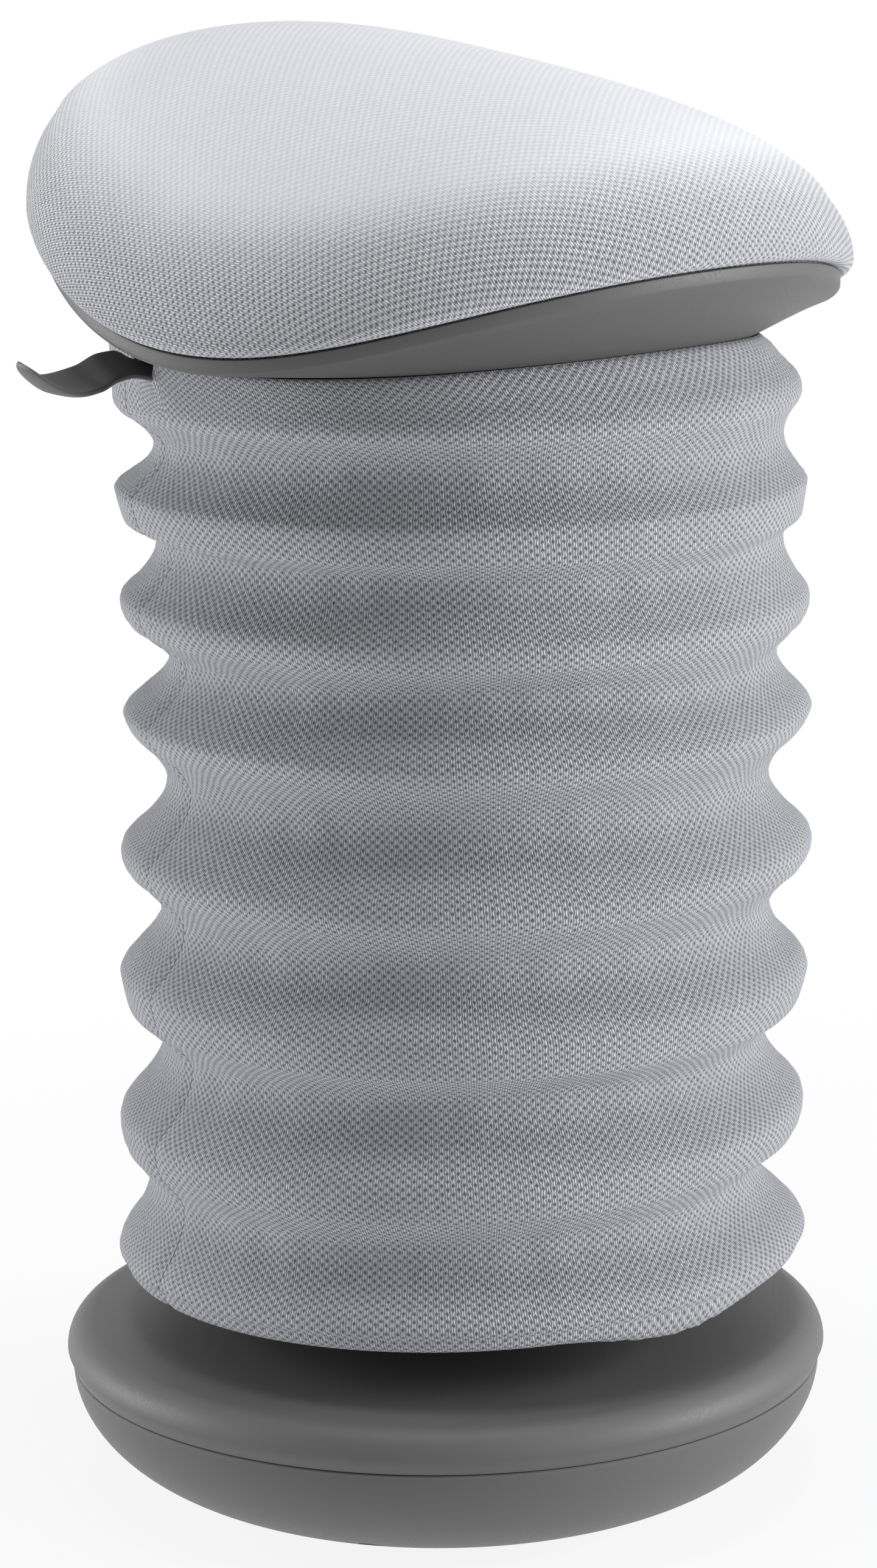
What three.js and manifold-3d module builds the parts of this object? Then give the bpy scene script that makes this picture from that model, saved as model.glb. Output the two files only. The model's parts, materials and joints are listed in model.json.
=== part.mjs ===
// A wobble stool: a rocking foot, a gas column inside a pleated knit cover, and a saddle seat.
// Millimetres, +Z up, origin on the floor under the middle of the foot.
// The sitter faces -Y, so their left is +X and the lever is on their right, at -X.
import * as THREE from 'three';
import { mergeVertices } from 'three/addons/utils/BufferGeometryUtils.js';
import Module from 'manifold-3d';

const wasm = await Module();
wasm.setup();

const degrees = THREE.MathUtils.degToRad;

// Clearances and facets
const gap = 0.3;
const overrun = 2;
const boreFacets = 8;
const tubeFacets = 18;
const baseFacets = 36;
const seatFacets = 32;
const pleatFacets = 24;
const wireFacets = 4;
const hexagon = 6;

// Rocker bowl and its rubber sole
const baseRadius = 180;
const widestHeight = 64.6;
const seamInset = 2.5;
const seamHeight = 57.5;
const footInset = 74;
const footHeight = 1.2;
const bowlWall = 4;
const bowlTurnPower = 1.15;
const bowlSteps = 6;
const soleInset = 8;
const soleThickness = 3;
const tongueHeight = 4;
const tongueWall = 1.5;

// Base cover
const coverWall = 3.5;
const coverEdgeRadius = 13.6;
const coverEdgeSweep = degrees(86);
const coverEdgeSteps = 5;
const coverRise = 7.8;
const collarRise = 4;
const collarWidth = 6;

// Base screws, driven from underneath through wells in the bowl
const baseScrewCount = 6;
const baseScrewInset = 40;
const baseScrewRadius = 2.2;
const baseScrewHeadRadius = 4.6;
const baseScrewHeadHeight = 3;
const baseScrewLength = 30;
const wellRadius = 5.6;
const wellRoof = 20;
const bossWall = 3;
const postRadius = 6;

// Ballast, column hub and its bolts
const ballastInset = 2;
const ballastThickness = 18;
const ballastBore = 16;
const hubFlangeRadius = 58;
const hubFlangeThickness = 5;
const hubRadius = 32;
const hubFillet = 6;
const hubTop = 95;
const hubBoltCount = 4;
const hubBoltCircle = 46;
const hubBoltRadius = 4;
const hubBoltHeadRadius = 7;
const hubBoltHeadHeight = 5.3;
const hubBoltGrip = 14;

// Outer column tube and guide bush
const columnRadius = 25;
const columnWall = 1.6;
const columnTaper = 1;
const columnFoot = 36;
const bushLength = 62;
const bushFlange = 3;
const socketClearance = 2.7;

// Gas spring: bearing, rod, piston, pressure cylinder and valve
const raceThickness = 2;
const raceRadius = 13;
const ballRadius = 1.5;
const ballCount = 8;
const ballCircle = 9.4;
const ballFacets = 4;
const cageThickness = 1.6;
const cageHalfWidth = 2.6;
const rodRadius = 5;
const rodTail = 6.5;
const reboundRoom = 8;
const clipRadius = 9.5;
const clipThickness = 2;
const bumperRadius = 13.8;
const bumperHeight = 12.3;
const pistonHeight = 14;
const pistonGroove = 4;
const pistonGrooveDepth = 2;
const pistonNutRadius = 8;
const pistonNutHeight = 4.4;
const cylinderRadius = 14;
const cylinderWall = 1.6;
const cylinderSpare = 100;
const cylinderHeadRoom = 14.7;
const coneLength = 45;
const coneDrop = 1.1;
const cylinderRoof = 3;
const rodGuideHeight = 12;
const valveBodyRadius = 10.7;
const valveBodyLength = 28;
const valvePinRadius = 2.5;
const valvePinLength = 30;
const valveHeadRadius = 4;
const valveHeadHeight = 2.5;
const valveTravel = 2.5;

// Travel of the seat, from the top setting shown here downwards
const heightTravel = 180;

// Seat plate under the shell: a pressed plate with a channel for the lever and a cone socket
const plateMargin = 20;
const plateCornerRadius = 20;
const plateThickness = 3;
const channelHalfWidth = 12;
const channelWall = 3;
const channelDepth = 34.7;
const channelBack = 45;
const socketRadius = 20;
const socketDrop = 16;
const socketLip = 2;

// Seat bolts and their tee nuts in the board
const seatBoltInset = 20.2;
const seatBoltCount = 4;
const seatBoltRadius = 3;
const seatBoltHeadRadius = 5.8;
const seatBoltHeadHeight = 4;
const boardShare = 0.54;
const boardThickness = 9;
const teeFlangeRadius = 9.5;
const teeFlangeThickness = 1.2;
const teeBarrelWall = 1.2;
const teeBarrelLength = 7.6;

// Saddle seat; angles run from the front (-Y) round towards +X
const seatRadius = 181;
const planPearShare = 0.03;
const planOvalShare = -0.012;
const planThreeShare = -0.006;
const rimRise = 42.7;
const rimTilt = 21.5;
const rimSaddle = 21.8;
const rimThree = 6;
const rimFour = 4;
const shellWall = 3.5;
const shellBand = 7;
const shellRimWall = 3;
const shellFlatShare = 0.74;
const shellCurvePower = 1.2;
const shellRingShares = [0.74, 0.79, 0.84, 0.89, 0.95, 1];
const crownRise = 83.3;
const padThickness = 48.7;
const padTilt = 6.6;
const padSaddle = 3.2;
const padEdgePower = 5.3;
const padBulge = 6;
const padShadow = 0.9;
const padHem = 12;
const coverCloth = 2.4;
const foamLift = 3.1;
const foamSkirt = 3;
const foamShare = 0.8;
const padRingShares = [0.17, 0.36, 0.54, 0.7, 0.82, 0.9, 0.95, 0.985, 1];

// Pleated knit cover and its hoops, from the top down
const hoopHeightShares = [0.954, 0.863, 0.748, 0.635, 0.496, 0.367, 0.222, 0.085];
const ridgeReaches = [17.5, 19, 19, 19.5, 21, 21, 21, 22.5];
const hoopTilts = [0, 0, -2, 0, 2, -1, 6, 7];
const hangShares = [0.9, 1, 1.1, 1.15, 1.05, 0.9, 0.75, 0.7];
const hang = 12;
const hangAngle = degrees(45);
const pleatDepth = 15.5;
const ridgeRound = 2.5;
const knitThickness = 3;
const hoopWireRadius = 2;
const hoopSeat = 2.9;
const hemDrop = 11;
const hemTurn = 9;
const hemReach = 40;

// Strip that holds the cover's top edge under the shell
const stripInset = 41;
const stripHalfWidth = 4;
const stripThickness = 4;
const stripGap = 1.7;
const knitSeat = 1.6;
const stripToKnit = 1.6;
const stripSections = 35;
const stripPegCount = 7;
const stripPegRadius = 2.2;
const stripPegRise = 0.8;

// Release lever: a flat arm in the channel, then a twisted strap that ends in a cupped paddle
const leverAngle = degrees(165);
const leverOverhang = 29;
const leverRise = 14.8;
const leverHalfWidth = 21;
const leverCup = 3;
const leverThickness = 3;
const leverArmThickness = 4;
const leverArmHalfWidth = 8;
const leverArmBack = 7;
const leverPivotReach = 50;
const leverPivotRadius = 3;
const leverPinOverhang = 1.5;
const leverBossRadius = 6;
const leverSlotHalfWidth = 15;
const leverSlotDepth = 11.5;
const leverRelief = 2;
const leverReliefReach = 170;
// Shares of the reach, the rise, the half width and the cup, with the twist between them
const leverShares = [
  { reach: 0.286, rise: 0.03, width: 0.38, twist: 0, cup: 0 },
  { reach: 0.357, rise: 0.07, width: 0.43, twist: 0, cup: 0 },
  { reach: 0.476, rise: 0.16, width: 0.45, twist: degrees(3), cup: 0 },
  { reach: 0.595, rise: 0.31, width: 0.5, twist: degrees(9), cup: 0.1 },
  { reach: 0.667, rise: 0.46, width: 0.52, twist: degrees(13), cup: 0.2 },
  { reach: 0.738, rise: 0.61, width: 0.57, twist: degrees(19), cup: 0.33 },
  { reach: 0.79, rise: 0.57, width: 0.69, twist: degrees(20), cup: 0.53 },
  { reach: 0.843, rise: 0.36, width: 0.86, twist: degrees(17), cup: 0.8 },
  { reach: 0.895, rise: 0.23, width: 1, twist: degrees(14), cup: 1 },
  { reach: 0.943, rise: 0.38, width: 0.98, twist: degrees(10), cup: 1 },
  { reach: 0.981, rise: 0.72, width: 0.76, twist: degrees(7), cup: 0.66 },
  { reach: 1, rise: 1, width: 0.4, twist: degrees(4), cup: 0.26 },
];

// Sizes and heights that follow from the ones above
const seamRadius = baseRadius - seamInset;
const footRadius = baseRadius - footInset;
const soleRadius = footRadius - soleInset;
const baseScrewCircle = baseRadius - baseScrewInset;
const ballastRadius = footRadius - ballastInset;
const boardRadius = seatRadius * boardShare;
const seatBoltCircle = boardRadius - seatBoltInset;
const plateHalfWidth = seatBoltCircle * Math.SQRT1_2 + plateMargin;
const leverReach = seatRadius + leverOverhang;
const stripRadius = seatRadius - stripInset;
const coverEdgeTop = widestHeight + coverEdgeRadius;
const coverTop = coverEdgeTop + coverRise;
const bowlRoof = soleThickness + gap;
const bowlFloor = bowlRoof + bowlWall;
const ballastFloor = bowlFloor + gap;
const ballastTop = ballastFloor + ballastThickness;
const hubFloor = ballastTop + gap;
const hubFlangeTop = hubFloor + hubFlangeThickness;
const columnBore = columnRadius - columnWall;
const columnPlateTop = columnFoot + 2 * columnWall;
const lowerRaceFloor = columnPlateTop + gap;
const cageFloor = lowerRaceFloor + raceThickness + gap;
const upperRaceFloor = cageFloor + 2 * ballRadius + gap;
const bumperFloor = upperRaceFloor + raceThickness + gap;
const bumperTop = bumperFloor + bumperHeight;
const cylinderFoot = bumperTop + gap + heightTravel;
const rodGuideFloor = cylinderFoot + gap;
const pistonFloor = rodGuideFloor + rodGuideHeight + reboundRoom;
const pistonTop = pistonFloor + pistonHeight;
const pistonGrooveFloor = pistonFloor + (pistonHeight - pistonGroove) / 2;
const pistonNutFloor = pistonTop + gap;
const rodTop = pistonNutFloor + pistonNutHeight;
const cylinderTop = cylinderFoot + heightTravel + cylinderSpare;
const cylinderBore = cylinderRadius - cylinderWall;
const coneFoot = cylinderTop - coneLength;
const plateFloor = cylinderTop + cylinderHeadRoom;
const plateTop = plateFloor + plateThickness;
const channelFloor = plateFloor - channelDepth;
const socketFloor = channelFloor - socketDrop;
const socketTop = cylinderTop - socketLip;
const columnTop = socketFloor - heightTravel - socketClearance - bushFlange - gap;
const valveHeadFloor = cylinderTop + valveTravel + gap;
const valveHeadTop = valveHeadFloor + valveHeadHeight;
const leverArmFloor = valveHeadTop + gap;
const leverAxisHeight = leverArmFloor + leverArmThickness / 2;
const shellBottom = plateTop + gap;
const rimHeight = shellBottom + rimRise;
const crownHeight = shellBottom + crownRise;
const leverSlotFloor = shellBottom - leverSlotDepth;
const boardFloor = shellBottom + shellWall + gap;
const boardTop = boardFloor + boardThickness;
const teeFlangeFloor = boardTop + gap;
const teeFlangeTop = teeFlangeFloor + teeFlangeThickness;
const foamFloor = teeFlangeTop + gap;
const knitTopRadius = stripRadius + stripHalfWidth + stripToKnit + knitThickness;

// Materials
const darkPlastic = new THREE.MeshStandardMaterial({ color: 0x626262, roughness: 0.55 });
const knit = new THREE.MeshStandardMaterial({ color: 0xb4b5bb, roughness: 0.95 });
const rubber = new THREE.MeshStandardMaterial({ color: 0x2b2b2b, roughness: 0.9 });
const castIron = new THREE.MeshStandardMaterial({ color: 0x3c3c3d, roughness: 0.8, metalness: 0.6 });
const blackSteel = new THREE.MeshStandardMaterial({ color: 0x242425, roughness: 0.45, metalness: 0.6 });
const zincSteel = new THREE.MeshStandardMaterial({ color: 0xb9bcc0, roughness: 0.35, metalness: 0.9 });
const chromeSteel = new THREE.MeshStandardMaterial({ color: 0xd6d8da, roughness: 0.12, metalness: 1 });
const acetal = new THREE.MeshStandardMaterial({ color: 0xe4e4e0, roughness: 0.45 });
const plywood = new THREE.MeshStandardMaterial({ color: 0xc49a63, roughness: 0.7 });
const foam = new THREE.MeshStandardMaterial({ color: 0xe8e2cf, roughness: 0.95 });

// Point at a plan angle and radius round a centre line
function place(radius, angle, height, centre = new THREE.Vector2()) {
  return new THREE.Vector3(
    centre.x + radius * Math.sin(angle), centre.y - radius * Math.cos(angle), height);
}

// Angles of the corners of a ring with this many facets
function turns(facets) {
  return Array.from({ length: facets }, (_, i) => (i / facets) * 2 * Math.PI);
}

// Geometry with shared corners and no flattened triangles
function welded(geometry) {
  const bare = geometry.clone();
  bare.deleteAttribute('normal');
  bare.deleteAttribute('uv');
  const merged = mergeVertices(bare);
  const corners = merged.index.array;
  const kept = [];
  for (let i = 0; i < corners.length; i += 3) {
    const [a, b, c] = corners.slice(i, i + 3);
    if (a !== b && b !== c && c !== a) kept.push(a, b, c);
  }
  merged.setIndex(kept);
  return merged;
}

function toManifold(geometry) {
  const shared = welded(geometry);
  return new wasm.Manifold(new wasm.Mesh({
    numProp: 3,
    vertProperties: new Float32Array(shared.attributes.position.array),
    triVerts: new Uint32Array(shared.index.array),
  }));
}

function fromManifold(solid) {
  const mesh = solid.getMesh();
  const geometry = new THREE.BufferGeometry();
  geometry.setAttribute('position', new THREE.BufferAttribute(mesh.vertProperties.slice(), 3));
  geometry.setIndex(new THREE.BufferAttribute(mesh.triVerts.slice(), 1));
  return geometry;
}

function fused(...pieces) {
  return fromManifold(pieces.map(toManifold).reduce((whole, piece) => whole.add(piece)));
}

function shared(first, second) {
  return fromManifold(toManifold(first).intersect(toManifold(second)));
}

function cut(geometry, ...tools) {
  const solid = toManifold(geometry);
  return fromManifold(tools.map(toManifold).reduce((whole, tool) => whole.subtract(tool), solid));
}

// Turned solid about Z; the profile is a list of [radius, height] and closes itself off the axis
function turned(profile, facets) {
  const closed = profile[0][0] === 0 ? profile : [...profile, profile[0]];
  const points = closed.map(([radius, height]) => new THREE.Vector2(radius, height));
  return new THREE.LatheGeometry(points, facets).rotateX(Math.PI / 2);
}

// Round bar along Z between two heights
function bar(radius, low, high, facets = boreFacets) {
  return new THREE.CylinderGeometry(radius, radius, high - low, facets)
    .rotateX(Math.PI / 2)
    .translate(0, 0, (low + high) / 2);
}

// Round bar along Y at a reach and a height
function crossBar(radius, halfLength, reach, height) {
  return new THREE.CylinderGeometry(radius, radius, 2 * halfLength, boreFacets)
    .translate(reach, 0, height);
}

function ringBar(inner, outer, low, high, facets = tubeFacets) {
  return turned([[inner, low], [outer, low], [outer, high], [inner, high]], facets);
}

function block(back, front, right, left, low, high) {
  return new THREE.BoxGeometry(front - back, left - right, high - low)
    .translate((back + front) / 2, (right + left) / 2, (low + high) / 2);
}

// Copies of a solid at equal turns on a circle
function aroundCircle(count, radius, geometry, start = 0) {
  return turns(count).map((turn) => {
    const spot = place(radius, turn + start, 0);
    return geometry.clone().translate(spot.x, spot.y, 0);
  });
}

// Closed surface through rings of points that all have the same count.
// With poles the first and last ring are closed to a point each, otherwise the last joins the first.
function skinned(rings, poles = null) {
  const count = rings[0].length;
  const points = rings.flat();
  const index = [];
  const joins = poles ? rings.length - 1 : rings.length;
  for (let i = 0; i < joins; i += 1) {
    const near = i * count;
    const far = ((i + 1) % rings.length) * count;
    for (let j = 0; j < count; j += 1) {
      const k = (j + 1) % count;
      index.push(near + j, near + k, far + k, near + j, far + k, far + j);
    }
  }
  if (poles) {
    const first = points.push(poles[0]) - 1;
    const last = points.push(poles[1]) - 1;
    const end = (rings.length - 1) * count;
    for (let j = 0; j < count; j += 1) {
      const k = (j + 1) % count;
      index.push(first, k, j, last, end + j, end + k);
    }
  }
  const volume = index.reduce((sum, _, i) => (i % 3 ? sum
    : sum + points[index[i]].dot(points[index[i + 1]].clone().cross(points[index[i + 2]]))), 0);
  if (volume < 0) index.reverse();
  return new THREE.BufferGeometry().setFromPoints(points).setIndex(index);
}

function middle(ring) {
  return ring.reduce((sum, point) => sum.add(point), new THREE.Vector3()).divideScalar(ring.length);
}

// Rocker bowl
function bowlCurve(outerRadius, floor) {
  return Array.from({ length: bowlSteps + 1 }, (_, i) => {
    const turn = (i / bowlSteps) * (Math.PI / 2);
    return [
      footRadius + (outerRadius - footRadius) * Math.sin(turn) ** bowlTurnPower,
      floor + (seamHeight - floor) * (1 - Math.cos(turn)),
    ];
  });
}

function baseBowl() {
  const innerRadius = seamRadius - bowlWall;
  const outside = bowlCurve(seamRadius, footHeight);
  const tongue = [
    [innerRadius + tongueWall, seamHeight],
    [innerRadius + tongueWall, seamHeight + tongueHeight],
    [innerRadius, seamHeight + tongueHeight],
  ];
  const bowl = turned([
    [0, bowlRoof], [soleRadius + gap, bowlRoof], [soleRadius + gap, footHeight],
    ...outside, ...tongue, ...bowlCurve(innerRadius, bowlFloor).reverse(), [0, bowlFloor],
  ], baseFacets);
  const full = turned([[0, footHeight], ...outside, [0, seamHeight]], baseFacets);
  const bossTop = wellRoof + bossWall;
  const bosses = aroundCircle(baseScrewCount, baseScrewCircle, bar(wellRadius + bossWall, 0, bossTop))
    .map((boss) => shared(full, boss));
  const wells = aroundCircle(baseScrewCount, baseScrewCircle, bar(wellRadius, -overrun, wellRoof));
  const holes = aroundCircle(
    baseScrewCount, baseScrewCircle, bar(baseScrewRadius + gap, -overrun, bossTop + overrun));
  return cut(fused(bowl, ...bosses), ...wells, ...holes);
}

function antiSlipSole() {
  return bar(soleRadius, 0, soleThickness, baseFacets);
}

// Base cover with a rounded edge, a gentle slope to the collar and posts for the screws
function baseCover() {
  const opening = hubRadius + 2 * gap;
  const lip = opening + collarWidth;
  const skirt = seamRadius - bowlWall + tongueWall + gap;
  const arc = (radius) => Array.from({ length: coverEdgeSteps + 1 }, (_, i) => {
    const turn = (i / coverEdgeSteps) * coverEdgeSweep;
    return [
      baseRadius - coverEdgeRadius + radius * Math.cos(turn),
      widestHeight + radius * Math.sin(turn),
    ];
  });
  const cover = turned([
    [skirt, seamHeight + gap], [seamRadius, seamHeight + gap],
    ...arc(coverEdgeRadius),
    [lip + collarRise, coverTop], [lip, coverTop + collarRise], [opening, coverTop + collarRise],
    [opening, coverTop - coverWall], [lip, coverTop - coverWall],
    ...arc(coverEdgeRadius - coverWall).reverse(),
    [skirt, seamHeight + tongueHeight + 2 * gap],
  ], baseFacets);
  const postFloor = wellRoof + bossWall + gap;
  const full = turned([
    [0, postFloor], [baseRadius, postFloor], ...arc(coverEdgeRadius),
    [lip + collarRise, coverTop], [0, coverTop],
  ], baseFacets);
  const posts = aroundCircle(baseScrewCount, baseScrewCircle, bar(postRadius, postFloor, coverTop))
    .map((post) => shared(full, post));
  const pilots = aroundCircle(baseScrewCount, baseScrewCircle,
    bar(baseScrewRadius + gap, postFloor - overrun, wellRoof + baseScrewLength + overrun));
  return cut(fused(cover, ...posts), ...pilots);
}

// Pan head screw pointing up, with its head under the roof of a well
function baseScrew() {
  const seat = wellRoof - gap;
  const floor = seat - baseScrewHeadHeight;
  return turned([
    [0, floor], [baseScrewHeadRadius / 2, floor], [baseScrewHeadRadius, floor + baseScrewHeadHeight / 2],
    [baseScrewHeadRadius, seat], [baseScrewRadius, seat],
    [baseScrewRadius, seat + baseScrewLength - baseScrewRadius], [0, seat + baseScrewLength],
  ], boreFacets);
}

function ballastDisc() {
  const chamfer = ballastThickness / 6;
  const disc = turned([
    [ballastBore, ballastFloor], [ballastRadius - chamfer, ballastFloor],
    [ballastRadius, ballastFloor + chamfer], [ballastRadius, ballastTop - chamfer],
    [ballastRadius - chamfer, ballastTop], [ballastBore, ballastTop],
  ], baseFacets);
  const bolt = bar(hubBoltRadius + gap, ballastTop - hubBoltGrip - gap, ballastTop + overrun);
  return cut(disc, ...aroundCircle(hubBoltCount, hubBoltCircle, bolt, Math.PI / hubBoltCount));
}

// Flanged hub with a tapered bore for the column
function columnHub() {
  const boreTop = columnRadius + gap;
  const boreFoot = columnRadius - columnTaper + gap;
  const hub = turned([
    [boreFoot, hubFloor], [hubFlangeRadius, hubFloor], [hubFlangeRadius, hubFlangeTop],
    [hubRadius + hubFillet, hubFlangeTop], [hubRadius, hubFlangeTop + hubFillet],
    [hubRadius, hubTop], [boreTop, hubTop], [boreFoot, columnFoot],
  ], tubeFacets);
  const bolt = bar(hubBoltRadius + gap, hubFloor - overrun, hubFlangeTop + overrun);
  return cut(hub, ...aroundCircle(hubBoltCount, hubBoltCircle, bolt, Math.PI / hubBoltCount));
}

// Hexagon bolt along Z with its head at one end
function hexBolt(headRadius, headFloor, headTop, shankRadius, shankEnd) {
  const pointsUp = shankEnd > headTop;
  const root = (headFloor + headTop) / 2;
  const shank = pointsUp ? bar(shankRadius, root, shankEnd) : bar(shankRadius, shankEnd, root);
  return fused(bar(headRadius, headFloor, headTop, hexagon), shank);
}

function hubBolt() {
  const floor = hubFlangeTop + gap;
  const end = ballastTop - hubBoltGrip;
  return hexBolt(hubBoltHeadRadius, floor, floor + hubBoltHeadHeight, hubBoltRadius, end);
}

// Outer tube, closed underneath by a plate that carries the bearing
function outerTube() {
  return turned([
    [rodRadius + gap, columnFoot], [columnRadius - columnTaper, columnFoot], [columnRadius, hubTop],
    [columnRadius, columnTop], [columnBore, columnTop], [columnBore - columnTaper, columnPlateTop],
    [rodRadius + gap, columnPlateTop],
  ], tubeFacets);
}

function guideBush() {
  const floor = columnTop - bushLength;
  const seat = columnTop + gap;
  const bore = cylinderRadius + gap;
  return turned([
    [bore, floor], [columnBore - gap, floor], [columnBore - gap, seat], [columnRadius, seat],
    [columnRadius, seat + bushFlange / 2], [columnRadius - bushFlange / 2, seat + bushFlange],
    [bore, seat + bushFlange],
  ], tubeFacets);
}

// Ball cage of the thrust bearing with its balls
function ballCage() {
  const centre = cageFloor + ballRadius;
  const cage = ringBar(ballCircle - cageHalfWidth, ballCircle + cageHalfWidth,
    centre - cageThickness / 2, centre + cageThickness / 2);
  const ball = new THREE.SphereGeometry(ballRadius, ballFacets, ballFacets).translate(0, 0, centre);
  return fused(cage, ...aroundCircle(ballCount, ballCircle, ball));
}

const race = (floor) => ringBar(rodRadius + gap, raceRadius, floor, floor + raceThickness);

function pistonRod() {
  const foot = columnFoot - rodTail;
  return turned([
    [0, foot], [rodRadius - gap, foot], [rodRadius, foot + gap], [rodRadius, rodTop - gap],
    [rodRadius - gap, rodTop], [0, rodTop],
  ], tubeFacets);
}

function retainingClip() {
  const top = columnFoot - gap;
  return ringBar(rodRadius + gap, clipRadius, top - clipThickness, top);
}

function bumper() {
  return turned([
    [rodRadius + gap, bumperFloor], [bumperRadius, bumperFloor],
    [bumperRadius - rodRadius / 2, bumperTop], [rodRadius + gap, bumperTop],
  ], tubeFacets);
}

function piston() {
  const outer = cylinderBore - gap;
  const groove = outer - pistonGrooveDepth;
  return turned([
    [rodRadius + gap, pistonFloor], [outer, pistonFloor],
    [outer, pistonGrooveFloor], [groove, pistonGrooveFloor],
    [groove, pistonGrooveFloor + pistonGroove], [outer, pistonGrooveFloor + pistonGroove],
    [outer, pistonTop], [rodRadius + gap, pistonTop],
  ], tubeFacets);
}

function pistonSeal() {
  const outer = cylinderBore - gap;
  return ringBar(outer - pistonGrooveDepth + gap, outer, pistonGrooveFloor + gap,
    pistonGrooveFloor + pistonGroove - gap);
}

function pistonNut() {
  return cut(bar(pistonNutRadius, pistonNutFloor, rodTop, hexagon),
    bar(rodRadius + gap, pistonNutFloor - overrun, rodTop + overrun, tubeFacets));
}

// Outside radius of the pressure cylinder, straight up to the cone and then tapering
function cylinderOutside(height) {
  return cylinderRadius - coneDrop * Math.max(0, (height - coneFoot) / coneLength);
}

function pressureCylinder() {
  const valveBore = valveBodyRadius + gap;
  const roof = cylinderTop - cylinderRoof;
  return turned([
    [cylinderBore, cylinderFoot], [cylinderRadius, cylinderFoot], [cylinderRadius, coneFoot],
    [cylinderOutside(cylinderTop), cylinderTop], [valvePinRadius + gap, cylinderTop],
    [valvePinRadius + gap, roof], [valveBore, roof], [valveBore, coneFoot], [cylinderBore, coneFoot],
  ], tubeFacets);
}

function rodGuide() {
  return ringBar(rodRadius + gap, cylinderBore - gap, rodGuideFloor, rodGuideFloor + rodGuideHeight);
}

function valveBody() {
  const top = cylinderTop - cylinderRoof - gap;
  return ringBar(valvePinRadius + gap, valveBodyRadius, top - valveBodyLength, top);
}

function valvePin() {
  const foot = valveHeadTop - valvePinLength;
  return turned([
    [0, foot], [valvePinRadius, foot], [valvePinRadius, valveHeadFloor],
    [valveHeadRadius, valveHeadFloor], [valveHeadRadius, valveHeadTop], [0, valveHeadTop],
  ], tubeFacets);
}

// Seat bolts sit on the diagonals of a square that is turned with the lever
function atSeatBolts(geometry) {
  return aroundCircle(seatBoltCount, seatBoltCircle, geometry, leverAngle + Math.PI / seatBoltCount);
}

// Pressed plate with rounded corners, the lever's channel under it and the cone socket
function seatPlate() {
  const flat = plateHalfWidth - plateCornerRadius;
  const outline = new THREE.Shape();
  outline.absarc(flat, flat, plateCornerRadius, 0, Math.PI / 2);
  outline.absarc(-flat, flat, plateCornerRadius, Math.PI / 2, Math.PI);
  outline.absarc(-flat, -flat, plateCornerRadius, Math.PI, 1.5 * Math.PI);
  outline.absarc(flat, -flat, plateCornerRadius, 1.5 * Math.PI, 2 * Math.PI);
  const plate = new THREE.ExtrudeGeometry(outline, {
    depth: plateThickness, bevelEnabled: false, curveSegments: 5,
  }).translate(0, 0, plateFloor);
  const outer = channelHalfWidth + channelWall;
  const root = plateFloor + plateThickness / 2;
  const web = block(-channelBack, plateHalfWidth, -outer, outer, channelFloor, channelFloor + channelWall);
  const rightWall = block(-channelBack, plateHalfWidth, -outer, -channelHalfWidth, channelFloor, root);
  const leftWall = block(-channelBack, plateHalfWidth, channelHalfWidth, outer, channelFloor, root);
  const backWall = block(-channelBack, channelWall - channelBack, -outer, outer, channelFloor, root);
  const socket = bar(socketRadius, socketFloor, socketTop, tubeFacets);
  const boreFloor = socketFloor - overrun;
  const boreTop = cylinderTop + gap;
  const bore = turned([
    [0, boreFloor], [cylinderOutside(boreFloor) + gap, boreFloor],
    [cylinderOutside(boreTop) + gap, boreTop], [0, boreTop],
  ], tubeFacets);
  const pivot = crossBar(leverPivotRadius + gap, outer + overrun, leverPivotReach, leverAxisHeight);
  const pressed = cut(fused(plate, web, rightWall, leftWall, backWall, socket), bore, pivot);
  const bolt = bar(seatBoltRadius + gap, plateFloor - overrun, plateTop + overrun);
  return cut(pressed.rotateZ(leverAngle), ...atSeatBolts(bolt));
}

function seatBolt() {
  const top = plateFloor - gap;
  return hexBolt(seatBoltHeadRadius, top - seatBoltHeadHeight, top, seatBoltRadius, teeFlangeFloor);
}

function teeNut() {
  const bore = seatBoltRadius + gap;
  const barrel = bore + teeBarrelWall;
  return turned([
    [bore, teeFlangeFloor - teeBarrelLength], [barrel, teeFlangeFloor - teeBarrelLength],
    [barrel, teeFlangeFloor], [teeFlangeRadius, teeFlangeFloor], [teeFlangeRadius, teeFlangeTop],
    [bore, teeFlangeTop],
  ], boreFacets);
}

function seatBoard() {
  const barrel = bar(seatBoltRadius + teeBarrelWall + 2 * gap, boardFloor - overrun, boardTop + overrun);
  return cut(bar(boardRadius, boardFloor, boardTop, seatFacets), ...atSeatBolts(barrel));
}

// Saddle surfaces: plan radius, rim height, shell underside and pad top
function planRadius(angle) {
  return seatRadius * (1 + planPearShare * Math.cos(angle) + planOvalShare * Math.cos(2 * angle)
    + planThreeShare * Math.cos(3 * angle));
}

function saddle(centre, share, angle) {
  return centre * (1 - share ** 2) + rimHeight * share ** 2 - rimTilt * Math.cos(angle) * share
    + rimSaddle * Math.cos(2 * angle) * share ** 2 + rimThree * Math.cos(3 * angle) * share ** 3
    - rimFour * Math.cos(4 * angle) * share ** 4;
}

const rimAt = (angle) => saddle(crownHeight, 1, angle);

function shellUnder(share, angle) {
  const climb = Math.max(0, (share - shellFlatShare) / (1 - shellFlatShare)) ** shellCurvePower;
  return shellBottom + (rimAt(angle) - shellBand - shellBottom) * climb;
}

const shellFloor = (share, angle) => shellUnder(share, angle) + shellWall;

const shellUnderAtRadius = (radius, angle) => shellUnder(radius / planRadius(angle), angle);

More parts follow.
